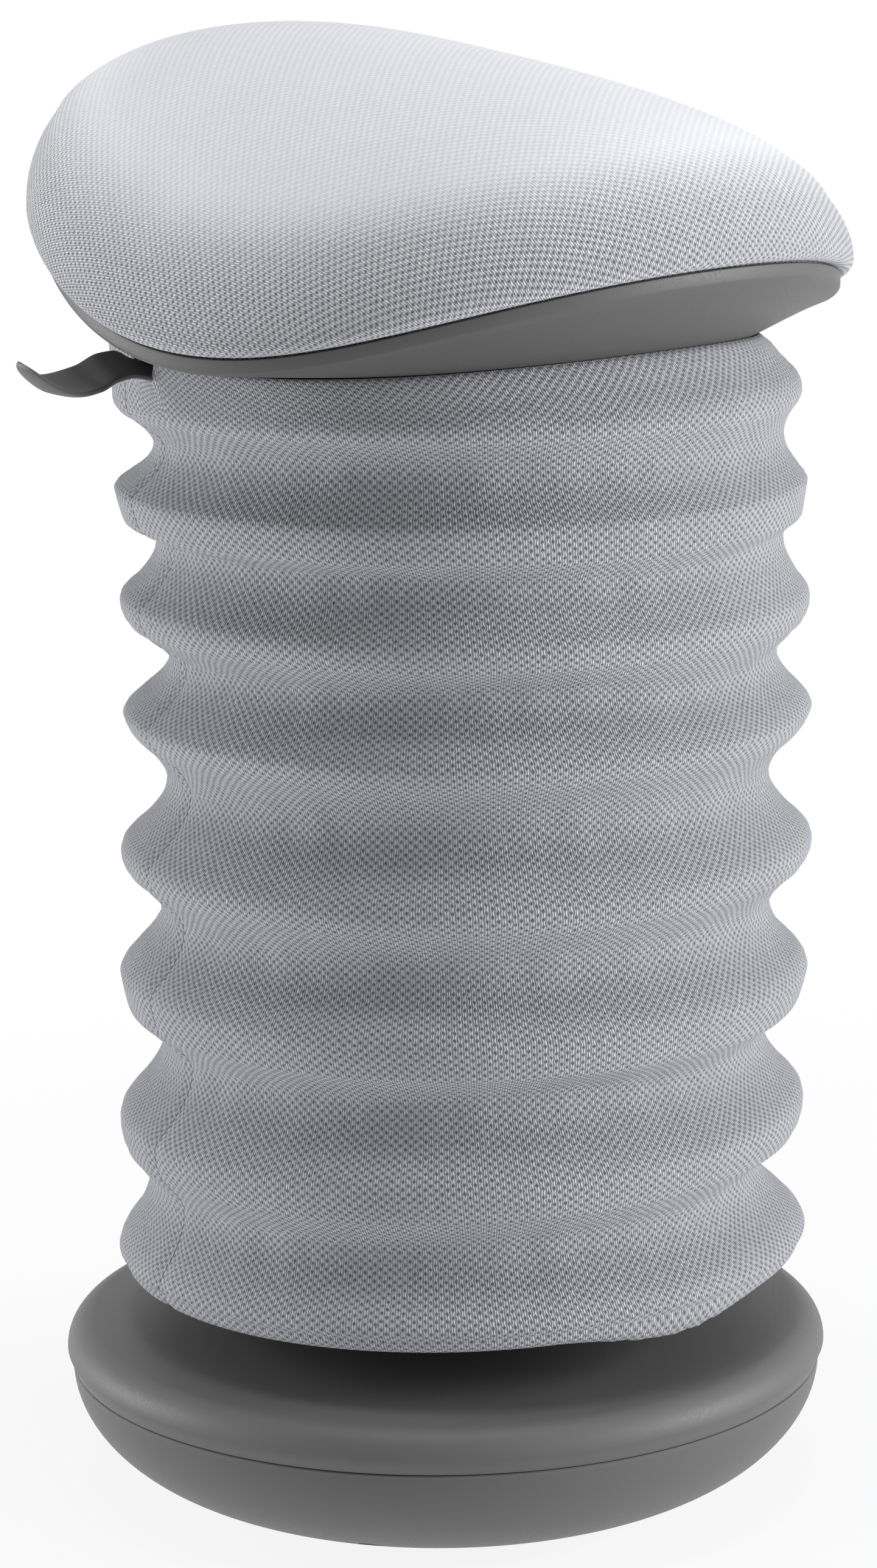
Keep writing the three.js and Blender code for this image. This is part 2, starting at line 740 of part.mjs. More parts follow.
// Ring of the pad's top skin, moved in by a cloth thickness
function padRing(share, inset) {
  return turns(seatFacets).map((angle) => {
    const fullness = padThickness - inset - padTilt * Math.cos(angle) * share
      + padSaddle * Math.cos(2 * angle) * share ** 2;
    const height = saddle(crownHeight, share, angle) + padBulge * share ** 2
      + fullness * Math.sqrt(1 - share ** padEdgePower);
    return place((planRadius(angle) + padBulge - inset) * share, angle, height);
  });
}

// Ring at a distance inside the rim and a height above it
function rimRing(inside, above) {
  return turns(seatFacets).map((angle) => place(planRadius(angle) - inside, angle, rimAt(angle) + above));
}

// Ring at a distance inside the rim and a height above the shell's floor
function floorRing(inside, above) {
  return turns(seatFacets).map((angle) => {
    const radius = planRadius(angle) - inside;
    return place(radius, angle, shellFloor(radius / planRadius(angle), angle) + above);
  });
}

function seatShell() {
  const ring = (share, surface) => turns(seatFacets)
    .map((angle) => place(planRadius(angle) * share, angle, surface(share, angle)));
  const under = shellRingShares.map((share) => ring(share, shellUnder));
  const floor = shellRingShares.slice(0, -1).map((share) => ring(share, shellFloor)).reverse();
  const dish = skinned([
    ...under, rimRing(0, 0), rimRing(shellRimWall, 0), floorRing(shellRimWall, 0), ...floor,
  ], [place(0, 0, shellBottom), place(0, 0, shellBottom + shellWall)]);
  const bolt = bar(seatBoltRadius + gap, shellBottom - overrun, shellBottom + shellWall + overrun);
  const pegHoles = pegPlaces.map(({ angle }) => bar(stripPegRadius + gap, shellBottom - overrun, rimHeight)
    .translate(...place(stripRadius, angle, 0).toArray()));
  const raised = (share, angle) => shellUnder(share, angle) + leverRelief;
  const below = skinned(shellRingShares.map((share) => ring(share, raised)),
    [place(0, 0, shellBottom + leverRelief), place(0, 0, 0)]);
  const relief = shared(below, block(boardRadius + foamSkirt, leverReliefReach,
    -leverSlotHalfWidth, leverSlotHalfWidth, channelFloor, rimHeight).rotateZ(leverAngle));
  return cut(dish, relief, ...atSeatBolts(bolt), ...pegHoles);
}

const clothEdge = shellRimWall + padShadow;

// Knit seat cover: over the pad, tucked in along the rim and hemmed under the pad
function seatCover() {
  const outside = padRingShares.map((share) => padRing(share, 0));
  const inside = padRingShares.map((share) => padRing(share, coverCloth)).reverse();
  const tuck = [
    rimRing(-0.77 * padBulge, 0.48 * padBulge), rimRing(-0.2 * padBulge, padShadow),
    rimRing(clothEdge, padShadow), floorRing(clothEdge, 3 * gap),
    floorRing(clothEdge + padHem, 3 * gap), floorRing(clothEdge + padHem, coverCloth),
    floorRing(clothEdge + coverCloth, coverCloth), rimRing(clothEdge + coverCloth, padShadow + coverCloth),
    rimRing(0.2 * padBulge, padShadow + coverCloth), rimRing(-0.37 * padBulge, 0.82 * padBulge),
  ];
  return skinned([...outside, ...tuck, ...inside], [middle(padRing(0, 0)), middle(padRing(0, coverCloth))]);
}

// Moulded foam pad: flat over the board, then following the shell's floor and the cover
function seatFoam() {
  const inset = coverCloth + gap;
  const edge = clothEdge + inset;
  const wall = (radius, height) => turns(seatFacets).map((angle) => place(radius, angle, height));
  const stepRadius = boardRadius + foamSkirt;
  const bottom = [
    wall(stepRadius, foamFloor), wall(stepRadius + foamSkirt, shellBottom + shellWall + foamLift),
    turns(seatFacets).map((angle) => place(planRadius(angle) * foamShare, angle,
      shellFloor(foamShare, angle) + foamLift)),
    floorRing(edge + padHem, foamLift), floorRing(edge, foamLift),
    rimRing(edge, padShadow + inset), rimRing(0.2 * padBulge, padShadow + inset),
    rimRing(-0.3 * padBulge, 0.9 * padBulge),
  ];
  const top = padRingShares.map((share) => padRing(share, inset)).reverse();
  return skinned([...bottom, ...top], [place(0, 0, foamFloor), middle(padRing(0, inset))]);
}

// Plan angle of the lever and of the strip's pegs, which keep clear of it
const leverPlanAngle = leverAngle + Math.PI / 2;
const slotHalfAngle = Math.asin(leverSlotHalfWidth / (stripRadius - stripHalfWidth));
const pegPlaces = Array.from({ length: stripPegCount }, (_, i) => ({
  angle: leverPlanAngle + ((i + 0.5) / stripPegCount) * 2 * Math.PI,
}));

// Open strip under the shell, with pegs that push up through it
function coverStrip() {
  const start = leverPlanAngle + slotHalfAngle;
  const sweep = 2 * (Math.PI - slotHalfAngle);
  const sections = Array.from({ length: stripSections + 1 }, (_, i) => {
    const angle = start + (i / stripSections) * sweep;
    const corner = (side, drop) => {
      const radius = stripRadius + side * stripHalfWidth;
      return place(radius, angle, shellUnderAtRadius(radius, angle) - stripGap - drop);
    };
    return [corner(-1, 0), corner(1, 0), corner(1, stripThickness), corner(-1, stripThickness)];
  });
  const strip = skinned(sections, [middle(sections[0]), middle(sections.at(-1))]);
  const pegs = pegPlaces.map(({ angle }) => {
    const under = shellUnderAtRadius(stripRadius, angle);
    return bar(stripPegRadius, under - stripGap - stripThickness / 2, under + shellWall + stripPegRise)
      .translate(...place(stripRadius, angle, 0).toArray());
  });
  return fused(strip, ...pegs);
}

// Ring of the hanging cover: off centre by its hang and tilted across it
function hangingRing(radius, height, hangShare, tilt) {
  const centre = place(hang * hangShare, hangAngle, 0);
  return turns(pleatFacets).map((angle) => place(radius, angle,
    height + (tilt / 2) * Math.cos(angle - hangAngle), new THREE.Vector2(centre.x, centre.y)));
}

const hoops = hoopHeightShares.map((share, i) => ({
  height: coverEdgeTop + share * (shellBottom - coverEdgeTop),
  radius: stripRadius + ridgeReaches[i],
  tilt: hoopTilts[i],
  hangShare: hangShares[i],
}));

function hoopRing(hoop, inside, above) {
  return hangingRing(hoop.radius - inside, hoop.height + above, hoop.hangShare, hoop.tilt);
}

// Ring in the valley between two hoops
function valleyRing(upper, lower, inside) {
  const mean = (key) => (upper[key] + lower[key]) / 2;
  return hangingRing(mean('radius') - pleatDepth - inside, mean('height'), mean('hangShare'), mean('tilt'));
}

function knitTopRing(radius) {
  return turns(pleatFacets).map((angle) => place(radius, angle,
    shellUnderAtRadius(knitTopRadius - knitThickness, angle) - knitSeat));
}

// Pleated knit sleeve: every ridge is held out by a hoop, and the hem turns in underneath
function bellowsCover() {
  const outside = [knitTopRing(knitTopRadius)];
  const inside = [knitTopRing(knitTopRadius - knitThickness)];
  hoops.forEach((hoop, i) => {
    outside.push(hoopRing(hoop, 0, ridgeRound), hoopRing(hoop, 0, -ridgeRound));
    inside.push(hoopRing(hoop, knitThickness, 0));
    if (i < hoops.length - 1) {
      outside.push(valleyRing(hoop, hoops[i + 1], 0));
      inside.push(valleyRing(hoop, hoops[i + 1], knitThickness));
    }
  });
  const last = hoops.at(-1);
  const hem = [
    hoopRing(last, 0.28 * hemTurn, -0.73 * hemDrop), hoopRing(last, hemTurn, -hemDrop),
    hoopRing(last, hemReach, -hemDrop), hoopRing(last, hemReach, knitThickness - hemDrop),
    hoopRing(last, hemTurn, knitThickness - hemDrop),
    hoopRing(last, 0.28 * hemTurn + knitThickness, -0.54 * hemDrop),
  ];
  const slot = block(stripRadius - pleatDepth, stripRadius + 2 * pleatDepth,
    -leverSlotHalfWidth, leverSlotHalfWidth, leverSlotFloor, rimHeight).rotateZ(leverAngle);
  return cut(skinned([...outside, ...hem, ...inside.reverse()]), slot);
}

function hoopWire(hoop) {
  const centre = knitThickness + hoopSeat;
  return skinned(turns(wireFacets).map((turn) => hoopRing(
    hoop, centre - hoopWireRadius * Math.cos(turn), hoopWireRadius * Math.sin(turn))));
}

// Lever, drawn along +X and then turned to its place
function releaseLever() {
  const section = (reach, height, halfWidth, twist, cup, thickness) => {
    const point = (across, rise) => {
      const side = across * halfWidth;
      return new THREE.Vector3(reach, side, height + rise - side * Math.tan(twist) + cup * (across ** 2 - 1));
    };
    return [
      ...[-1, -0.5, 0, 0.5, 1].map((across) => point(across, thickness / 2)),
      ...[1, 0.5, 0, -0.5, -1].map((across) => point(across, -thickness / 2)),
    ];
  };
  const arm = [-leverArmBack, leverPivotReach].map((reach) =>
    section(reach, leverAxisHeight, leverArmHalfWidth, 0, 0, leverArmThickness));
  const strap = leverShares.map(({ reach, rise, width, twist, cup }) => section(
    reach * leverReach, leverAxisHeight + rise * leverRise, width * leverHalfWidth, twist,
    cup * leverCup, leverThickness));
  const sections = [...arm, ...strap];
  const body = skinned(sections, [middle(sections[0]), middle(sections.at(-1))]);
  const boss = crossBar(leverBossRadius, leverArmHalfWidth, leverPivotReach, leverAxisHeight);
  const boreHalfLength = leverArmHalfWidth + overrun;
  const bore = crossBar(leverPivotRadius + gap, boreHalfLength, leverPivotReach, leverAxisHeight);
  return cut(fused(body, boss), bore).rotateZ(leverAngle);
}

function leverPin() {
  return crossBar(leverPivotRadius, channelHalfWidth + channelWall + leverPinOverhang,
    leverPivotReach, leverAxisHeight).rotateZ(leverAngle);
}

// One group for each set of pieces that moves as one
function add(group, name, geometry, material) {
  const solid = welded(geometry);
  solid.computeVertexNormals();
  const mesh = new THREE.Mesh(solid, material);
  mesh.name = name;
  group.add(mesh);
}

const base = new THREE.Group();
add(base, 'base_bowl', baseBowl(), darkPlastic);
add(base, 'anti_slip_sole', antiSlipSole(), rubber);
add(base, 'base_cover', baseCover(), darkPlastic);
aroundCircle(baseScrewCount, baseScrewCircle, baseScrew())
  .forEach((screw, i) => add(base, `base_screw_${i + 1}`, screw, zincSteel));
add(base, 'ballast_disc', ballastDisc(), castIron);
add(base, 'column_hub', columnHub(), blackSteel);
aroundCircle(hubBoltCount, hubBoltCircle, hubBolt(), Math.PI / hubBoltCount)
  .forEach((bolt, i) => add(base, `hub_bolt_${i + 1}`, bolt, zincSteel));
add(base, 'outer_tube', outerTube(), blackSteel);
add(base, 'guide_bush', guideBush(), acetal);
add(base, 'lower_bearing_race', race(lowerRaceFloor), zincSteel);
add(base, 'bearing_ball_cage', ballCage(), zincSteel);

const swivel = new THREE.Group();
add(swivel, 'upper_bearing_race', race(upperRaceFloor), zincSteel);
add(swivel, 'piston_rod', pistonRod(), chromeSteel);
add(swivel, 'retaining_clip', retainingClip(), zincSteel);
add(swivel, 'end_bumper', bumper(), rubber);
add(swivel, 'piston', piston(), acetal);
add(swivel, 'piston_seal', pistonSeal(), rubber);
add(swivel, 'piston_nut', pistonNut(), zincSteel);
add(swivel, 'bellows_cover', bellowsCover(), knit);
hoops.forEach((hoop, i) => add(swivel, `hoop_${i + 1}`, hoopWire(hoop), zincSteel));

const seat = new THREE.Group();
add(seat, 'pressure_cylinder', pressureCylinder(), blackSteel);
add(seat, 'rod_guide', rodGuide(), acetal);
add(seat, 'valve_body', valveBody(), acetal);
add(seat, 'seat_plate', seatPlate(), blackSteel);
add(seat, 'seat_shell', seatShell(), darkPlastic);
add(seat, 'seat_board', seatBoard(), plywood);
add(seat, 'seat_foam', seatFoam(), foam);
add(seat, 'seat_cover', seatCover(), knit);
add(seat, 'bellows_strip', coverStrip(), darkPlastic);
atSeatBolts(seatBolt()).forEach((bolt, i) => add(seat, `seat_bolt_${i + 1}`, bolt, zincSteel));
atSeatBolts(teeNut()).forEach((nut, i) => add(seat, `tee_nut_${i + 1}`, nut, zincSteel));
add(seat, 'lever_pin', leverPin(), zincSteel);
add(seat, 'release_lever', releaseLever(), darkPlastic);
add(seat, 'valve_pin', valvePin(), zincSteel);

const stool = new THREE.Group();
stool.add(base, swivel, seat);

export default stool;
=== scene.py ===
# %% [markdown]
# # A wobble stool
#
# The stool has a rounded, weighted foot, a gas column inside a pleated knit sleeve, a saddle-shaped
# plastic shell with a padded knit seat, and a release lever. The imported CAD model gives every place
# and size. This lesson dresses it: smooth mouldings, real cloth, small hardware and their finishes.

# %% The frame
import json
import math

import bmesh
import bpy
import numpy as np
from mathutils import Matrix, Vector


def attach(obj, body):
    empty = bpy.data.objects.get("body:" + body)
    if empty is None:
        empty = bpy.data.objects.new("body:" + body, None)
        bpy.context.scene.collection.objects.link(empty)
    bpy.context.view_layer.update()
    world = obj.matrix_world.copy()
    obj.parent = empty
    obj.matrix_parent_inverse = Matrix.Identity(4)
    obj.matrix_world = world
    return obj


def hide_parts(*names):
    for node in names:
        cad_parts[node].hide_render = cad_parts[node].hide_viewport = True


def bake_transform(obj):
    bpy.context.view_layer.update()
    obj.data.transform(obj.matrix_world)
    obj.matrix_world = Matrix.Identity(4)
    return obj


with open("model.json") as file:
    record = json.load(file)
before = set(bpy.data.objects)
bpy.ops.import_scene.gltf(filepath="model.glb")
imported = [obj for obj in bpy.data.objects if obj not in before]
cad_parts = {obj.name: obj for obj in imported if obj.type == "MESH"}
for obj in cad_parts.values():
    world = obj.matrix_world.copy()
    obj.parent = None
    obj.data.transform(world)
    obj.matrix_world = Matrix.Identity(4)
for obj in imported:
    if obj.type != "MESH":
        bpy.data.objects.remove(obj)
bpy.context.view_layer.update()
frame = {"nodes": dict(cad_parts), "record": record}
scene = bpy.context.scene
MM = 0.001
TURN = 2 * math.pi

# %% [markdown]
# ## The camera
#
# A product photograph is taken with a long lens from a little above the seat. The camera's height,
# tilt and lens were worked out from the foot's rings, whose true size is known. It looks at the
# stool from halfway between its front and the sitter's right. The axes are given as a matrix,
# because a camera that is rolled by under a degree is easier to write that way than as three
# angles.

# %% Camera
VIEW_TURN = math.radians(45.35)
VIEW_TILT = 0.2088984
VIEW_ROLL = -0.0129156
VIEW_DISTANCE = 2.1
VIEW_HEIGHT = 0.777
FOCAL_PIXELS = 7568.28
PICTURE_HEIGHT = 2576
SENSOR = 36.0

right = Vector((math.cos(VIEW_TURN), -math.sin(VIEW_TURN), 0))
away = Vector((math.sin(VIEW_TURN), math.cos(VIEW_TURN), 0))
ahead = math.cos(VIEW_TILT) * away - math.sin(VIEW_TILT) * Vector((0, 0, 1))
above = math.sin(VIEW_TILT) * away + math.cos(VIEW_TILT) * Vector((0, 0, 1))
across_picture = math.cos(VIEW_ROLL) * right + math.sin(VIEW_ROLL) * above
up_picture = -math.sin(VIEW_ROLL) * right + math.cos(VIEW_ROLL) * above

camera = bpy.data.objects.new("camera", bpy.data.cameras.new("camera"))
camera.data.sensor_fit = "VERTICAL"
camera.data.sensor_height = SENSOR
camera.data.lens = FOCAL_PIXELS / PICTURE_HEIGHT * SENSOR
camera_place = -VIEW_DISTANCE * away + Vector((0, 0, VIEW_HEIGHT))
camera.matrix_world = Matrix.Translation(camera_place) @ Matrix(
    (across_picture, up_picture, -ahead)).transposed().to_4x4()
scene.collection.objects.link(camera)
scene.camera = camera
scene.view_settings.view_transform = "Standard"
print("lens", round(camera.data.lens, 1), "mm at", [round(x, 3) for x in camera_place])

# %% [markdown]
# ## Colours and nodes
#
# Colours are written as they look on a screen, in sRGB hex, and turned to the linear numbers that
# Blender's sockets take. One small function adds a node: its settings are written as words, and its
# inputs are either numbers or the outputs of other nodes.

# %% Colour and node helpers
def linear(text):
    """Linear colour of an sRGB hex text."""
    parts = [int(text[i:i + 2], 16) / 255 for i in (0, 2, 4)]
    return [c / 12.92 if c <= 0.04045 else ((c + 0.055) / 1.055) ** 2.4 for c in parts] + [1.0]


def feed(tree, node, inputs):
    """Sets a node's inputs to numbers or colours, or links them to other nodes."""
    for socket, value in inputs.items():
        if isinstance(value, bpy.types.Node):
            value = value.outputs[0]
        if isinstance(value, bpy.types.NodeSocket):
            tree.links.new(value, node.inputs[socket])
        else:
            node.inputs[socket].default_value = value


def add(tree, kind, inputs=None, **settings):
    """A node in this tree, with its settings, its inputs set and its links made."""
    made = tree.nodes.new(kind)
    for name, value in settings.items():
        setattr(made, name, value)
    feed(tree, made, inputs or {})
    return made


def finish_named(name, values):
    """A new material, its tree and its shader with these values."""
    material = bpy.data.materials.new(name)
    material.use_nodes = True
    tree = material.node_tree
    shader = tree.nodes["Principled BSDF"]
    feed(tree, shader, values)
    return material, tree, shader


# %% [markdown]
# ## Floor, background and light
#
# The photograph is a studio cut-out: white all round. The undersides of the folds are lighter than
# the flanks that face up, so most of the light comes from a glowing table. The floor here is such a
# table: a wide disc of white that shines more with the distance, so that it keeps the stool's
# shadow but has no horizon. The world is white to the camera and in reflections, and gives
# everything else a very dim light. A lamp on either side and one above the seat do the rest.

# %% Floor and background
FLOOR_RADIUS = 12.0
SHADOW_NEAR = 0.3
SHADOW_FAR = 0.95
SHADOW_VEIL = 0.88
TABLE_GLOW = 0.9
DIM_LIGHT = 0.05
WHITE = linear("FFFFFF")


def full_when_seen(tree, otherwise):
    """1 for rays that look at the white, straight or by way of a surface, and this value for light."""
    rays = add(tree, "ShaderNodeLightPath").outputs
    seen = 0.0
    for ray in ("Is Camera Ray", "Is Glossy Ray", "Is Transmission Ray"):
        seen = add(tree, "ShaderNodeMath", {0: seen, 1: rays[ray]}, operation="ADD", use_clamp=True)
    return add(tree, "ShaderNodeMapRange", {"Value": seen, "To Min": otherwise, "To Max": 1.0})


floor_material, floor_tree, floor_shader = finish_named(
    "white light table", {"Base Color": linear("F2F2F3"), "Roughness": 0.9})
floor_reach = add(floor_tree, "ShaderNodeVectorMath", {
    0: add(floor_tree, "ShaderNodeTexCoord").outputs["Object"]}, operation="LENGTH")
floor_veil = add(floor_tree, "ShaderNodeMapRange", {
    "Value": floor_reach.outputs["Value"], "From Min": SHADOW_NEAR, "From Max": SHADOW_FAR,
    "To Min": SHADOW_VEIL, "To Max": 1.0})
veil = add(floor_tree, "ShaderNodeMath", {
    0: floor_veil, 1: full_when_seen(floor_tree, TABLE_GLOW)}, operation="MULTIPLY")
table_white = add(floor_tree, "ShaderNodeEmission", {"Color": WHITE, "Strength": 1.0})
floor_mix = add(floor_tree, "ShaderNodeMixShader", {0: veil, 1: floor_shader, 2: table_white})
feed(floor_tree, floor_tree.nodes["Material Output"], {"Surface": floor_mix})

bpy.ops.mesh.primitive_circle_add(vertices=96, radius=FLOOR_RADIUS, fill_type="NGON")
floor = bpy.context.object
floor.name = "floor"
floor.data.materials.append(floor_material)

world = bpy.data.worlds.new("studio")
world.use_nodes = True
scene.world = world
feed(world.node_tree, world.node_tree.nodes["Background"], {
    "Color": WHITE, "Strength": full_when_seen(world.node_tree, DIM_LIGHT)})
print("floor radius", FLOOR_RADIUS, "m, world light", DIM_LIGHT)

# %% Lamps
# Each lamp: metres to the right of the picture, towards the camera and up, its width and its watts
LAMPS = {
    "key_lamp": (2.1, 0.4, 0.8, 1.0, 42),
    "rim_lamp": (-2.1, -0.4, 0.6, 1.0, 28),
    "top_lamp": (0.0, 0.25, 2.3, 1.1, 26),
}
LIT_HEIGHT = 0.35
for name, (sideways, towards, up, width, watts) in LAMPS.items():
    lamp = bpy.data.objects.new(name, bpy.data.lights.new(name, "AREA"))
    lamp.data.size = width
    lamp.data.energy = watts
    lamp.location = sideways * right - towards * away + Vector((0, 0, up))
    aim = Vector((0, 0, LIT_HEIGHT)) - lamp.location
    lamp.rotation_euler = aim.to_track_quat("-Z", "Y").to_euler()
    scene.collection.objects.link(lamp)
print("lamps:", len(LAMPS))

# %% [markdown]
# ## Spacer knit
#
# Both covers are a polyester spacer knit, 2 to 3 mm thick. Its face has fat yarns that run in
# pairs, in columns 2.4 mm wide. Between them lie small holes 3.8 mm apart, and each column's
# holes are half a step lower than its neighbour's, so the yarns swing round them. To the eye it is
# a light, matte net with soft dark dots. The dark of the holes and of the furrows between the
# yarns is painted shade: the colour darkens where the pile is low. The pattern is drawn
# with sines on the cloth's own UV, which is in metres, so it follows the folds as real stitches do.
# A "pull" attribute on the mesh says where the cloth is stretched: there the holes open and their
# painted shade deepens, so the knit is paler where the cloth is slack.

# %% Spacer knit material
COLUMN = 2.4 * MM
HOLE_STEP = 3.8 * MM
YARN_FILAMENT = 0.35 * MM
YARN_STRAIN = 2.2 * MM
YARN_KNOT = 1.5 * MM
TONE_PATCH = 45 * MM
YARN_SWING = 1.7
WANDER_ALONG, WANDER_ACROSS = 2.4, 1.2
HOLE_EDGE, HOLE_DEPTH = 0.55, 0.2
LOOP_LOW, LOOP_HIGH, LOOP_SUNK = 0.6, -0.7, 0.14
PILE_FUZZ = 0.7
# Pile heights between which the painted shade of the holes and furrows fades in
FURROW_TOP, FURROW_FLOOR = 1.05, 0.05
PILE_STRENGTH = 0.7
PILE_HEIGHT = 0.8 * MM


def spacer_knit(name, yarn, shade, painted_hole_shade):
    """Knit in two tones of yarn with holes between paired strands; holes and furrows get painted shade.
    """
    material, tree, shader = finish_named(name, {
        "Roughness": 0.92, "Specular IOR Level": 0.2, "Sheen Weight": 0.2, "Sheen Roughness": 0.5})
    cloth = add(tree, "ShaderNodeUVMap", uv_map="weave")
    weave = add(tree, "ShaderNodeSeparateXYZ", {0: cloth})
    strain = add(tree, "ShaderNodeTexNoise", {"Vector": cloth, "Scale": 1 / YARN_STRAIN, "Detail": 2.0})
    wander = add(tree, "ShaderNodeSeparateXYZ", {0: strain.outputs["Color"]})

    def wandering(axis, waves, drift, size):
        """Phase of the pattern along one axis of the cloth, a little disturbed."""
        return add(tree, "ShaderNodeMath", {
            0: weave.outputs[axis], 1: waves,
            2: add(tree, "ShaderNodeMath", {0: wander.outputs[drift], 1: size}, operation="MULTIPLY")},
            operation="MULTIPLY_ADD")

    along = wandering("Y", TURN / HOLE_STEP, "X", WANDER_ALONG)
    across = wandering("X", math.pi / COLUMN, "Y", WANDER_ACROSS)
    net = add(tree, "ShaderNodeMath", {
        0: add(tree, "ShaderNodeMath", {0: across}, operation="COSINE"),
        1: add(tree, "ShaderNodeMath", {0: along}, operation="COSINE")}, operation="MULTIPLY")
    pit = add(tree, "ShaderNodeMapRange", {
        "Value": net, "From Min": HOLE_EDGE, "From Max": 1.0}, interpolation_type="SMOOTHSTEP")
    twice_across = add(tree, "ShaderNodeMath", {0: across, 1: 2.0}, operation="MULTIPLY")
    swing = add(tree, "ShaderNodeMath", {
        0: add(tree, "ShaderNodeMath", {0: twice_across}, operation="SINE"),
        1: add(tree, "ShaderNodeMath", {0: net, 1: -YARN_SWING}, operation="MULTIPLY"),
        2: add(tree, "ShaderNodeMath", {0: across, 1: 4.0}, operation="MULTIPLY")},
        operation="MULTIPLY_ADD")
    strand = add(tree, "ShaderNodeMath", {
        0: add(tree, "ShaderNodeMath", {0: swing}, operation="COSINE"), 1: -0.5, 2: 0.5},
        operation="MULTIPLY_ADD")
    loop_rise = add(tree, "ShaderNodeMapRange", {
        "Value": net, "From Min": LOOP_LOW, "From Max": LOOP_HIGH, "To Min": LOOP_SUNK, "To Max": 1.0})
    stretched = add(tree, "ShaderNodeMapping", {
        "Vector": cloth, "Scale": (1 / YARN_FILAMENT, 1 / YARN_KNOT, 1)})
    filaments = add(tree, "ShaderNodeTexNoise", {"Vector": stretched, "Scale": 1.0, "Detail": 2.0})
    patch = add(tree, "ShaderNodeTexNoise", {"Vector": cloth, "Scale": 1 / TONE_PATCH, "Detail": 3.0})
    raised = add(tree, "ShaderNodeMath", {0: strand, 1: loop_rise}, operation="MULTIPLY")
    open_pile = add(tree, "ShaderNodeMath", {
        0: pit, 1: -HOLE_DEPTH, 2: raised}, operation="MULTIPLY_ADD")
    rough_pile = add(tree, "ShaderNodeMath", {
        0: filaments.outputs[0], 1: PILE_FUZZ, 2: open_pile}, operation="MULTIPLY_ADD")
    # Painted shade: the colour darkens where the pile is low, in the holes and the furrows between
    # yarns
    painted_furrow_shade = add(tree, "ShaderNodeMapRange", {
        "Value": rough_pile, "From Min": FURROW_TOP, "From Max": FURROW_FLOOR},
        interpolation_type="SMOOTHSTEP")
    # The pull sets how much of this painted shade and of the bump shows
    pull = add(tree, "ShaderNodeAttribute", attribute_name="pull").outputs["Fac"]
    opened_painted_shade = add(tree, "ShaderNodeMath", {0: painted_furrow_shade, 1: pull}, operation="MULTIPLY")
    toned = add(tree, "ShaderNodeMix", {
        "Factor": patch.outputs[0], 6: linear(yarn), 7: linear(shade)}, data_type="RGBA")
    colour = add(tree, "ShaderNodeMix", {
        "Factor": opened_painted_shade, 6: toned.outputs[2], 7: linear(painted_hole_shade)}, data_type="RGBA")
    strength = add(tree, "ShaderNodeMath", {0: pull, 1: PILE_STRENGTH}, operation="MULTIPLY")
    bump = add(tree, "ShaderNodeBump", {
        "Height": rough_pile, "Strength": strength, "Distance": PILE_HEIGHT})
    feed(tree, shader, {"Base Color": colour.outputs[2], "Normal": bump})
    return material


# The last colour of each knit is the painted shade of its holes and furrows
seat_knit = spacer_knit("spacer knit of the seat", "ECEDF2", "E6E7ED", "62646B")
sleeve_knit = spacer_knit("spacer knit of the sleeve", "E0E1E8", "D2D3DA", "5C5E64")
print("knit materials:", seat_knit.name, "/", sleeve_knit.name)

# %% [markdown]
# ## Moulded plastic
#
# The foot and the shell are moulded from dark grey polypropylene and the lever from nylon, all in
# spark-eroded moulds. Their faces are matte with a grain of about half a millimetre, drawn here at
# 0.8 mm so that it shows, and faint clouds where the melt cooled. Edges that are handled get paler.

# %% Moulded plastic material
MOULD_GRAIN = 0.8 * MM
MELT_CLOUD = 70 * MM
GRAIN_DEPTH = 0.12 * MM
WORN_FROM, WORN_TO, WORN_SHARE = 0.53, 0.62, 0.6
SMOOTHEST, ROUGHEST = 0.48, 0.62


def moulded_plastic(name, face, cloud, worn):
    """Matte plastic with spark-eroded grain, melt clouds and slightly paler edges."""
    material, tree, shader = finish_named(name, {"IOR": 1.49})
    place = add(tree, "ShaderNodeTexCoord").outputs["Object"]
    grain = add(tree, "ShaderNodeTexNoise", {"Vector": place, "Scale": 1 / MOULD_GRAIN, "Detail": 3.0})
    clouds = add(tree, "ShaderNodeTexNoise", {"Vector": place, "Scale": 1 / MELT_CLOUD, "Detail": 4.0})
    toned = add(tree, "ShaderNodeMix", {
        "Factor": clouds.outputs[0], 6: linear(face), 7: linear(cloud)}, data_type="RGBA")
    edges = add(tree, "ShaderNodeMapRange", {
        "Value": add(tree, "ShaderNodeNewGeometry").outputs["Pointiness"],
        "From Min": WORN_FROM, "From Max": WORN_TO, "To Max": WORN_SHARE})
    colour = add(tree, "ShaderNodeMix", {
        "Factor": edges, 6: toned.outputs[2], 7: linear(worn)}, data_type="RGBA")
    rough = add(tree, "ShaderNodeMapRange", {
        "Value": grain.outputs[0], "From Min": 0.3, "From Max": 0.7,
        "To Min": SMOOTHEST, "To Max": ROUGHEST})
    bump = add(tree, "ShaderNodeBump", {
        "Height": grain.outputs[0], "Strength": 0.35, "Distance": GRAIN_DEPTH})
    feed(tree, shader, {"Base Color": colour.outputs[2], "Roughness": rough, "Normal": bump})
    return material


foot_plastic = moulded_plastic("moulded polypropylene of the foot", "676767", "606060", "808080")
shell_plastic = moulded_plastic("moulded polypropylene of the shell", "5C5C5C", "555555", "787878")
lever_plastic = moulded_plastic("moulded nylon of the lever", "5E5E5E", "585858", "808080")
print("plastics:", foot_plastic.name, "/", shell_plastic.name, "/", lever_plastic.name)

# %% [markdown]
# ## Surfaces from rings
#
# Most pieces here are skins over rings of points: the saddle seat, the sleeve, the turned
# mouldings. One function joins such rings to a mesh. The rings can close to a point at both ends,
# or the last can join the first, which makes a closed wall. The UV is given in metres for each
# ring's points, with one more point than the ring has, so that the pattern doesn't jump where the
# ring closes.

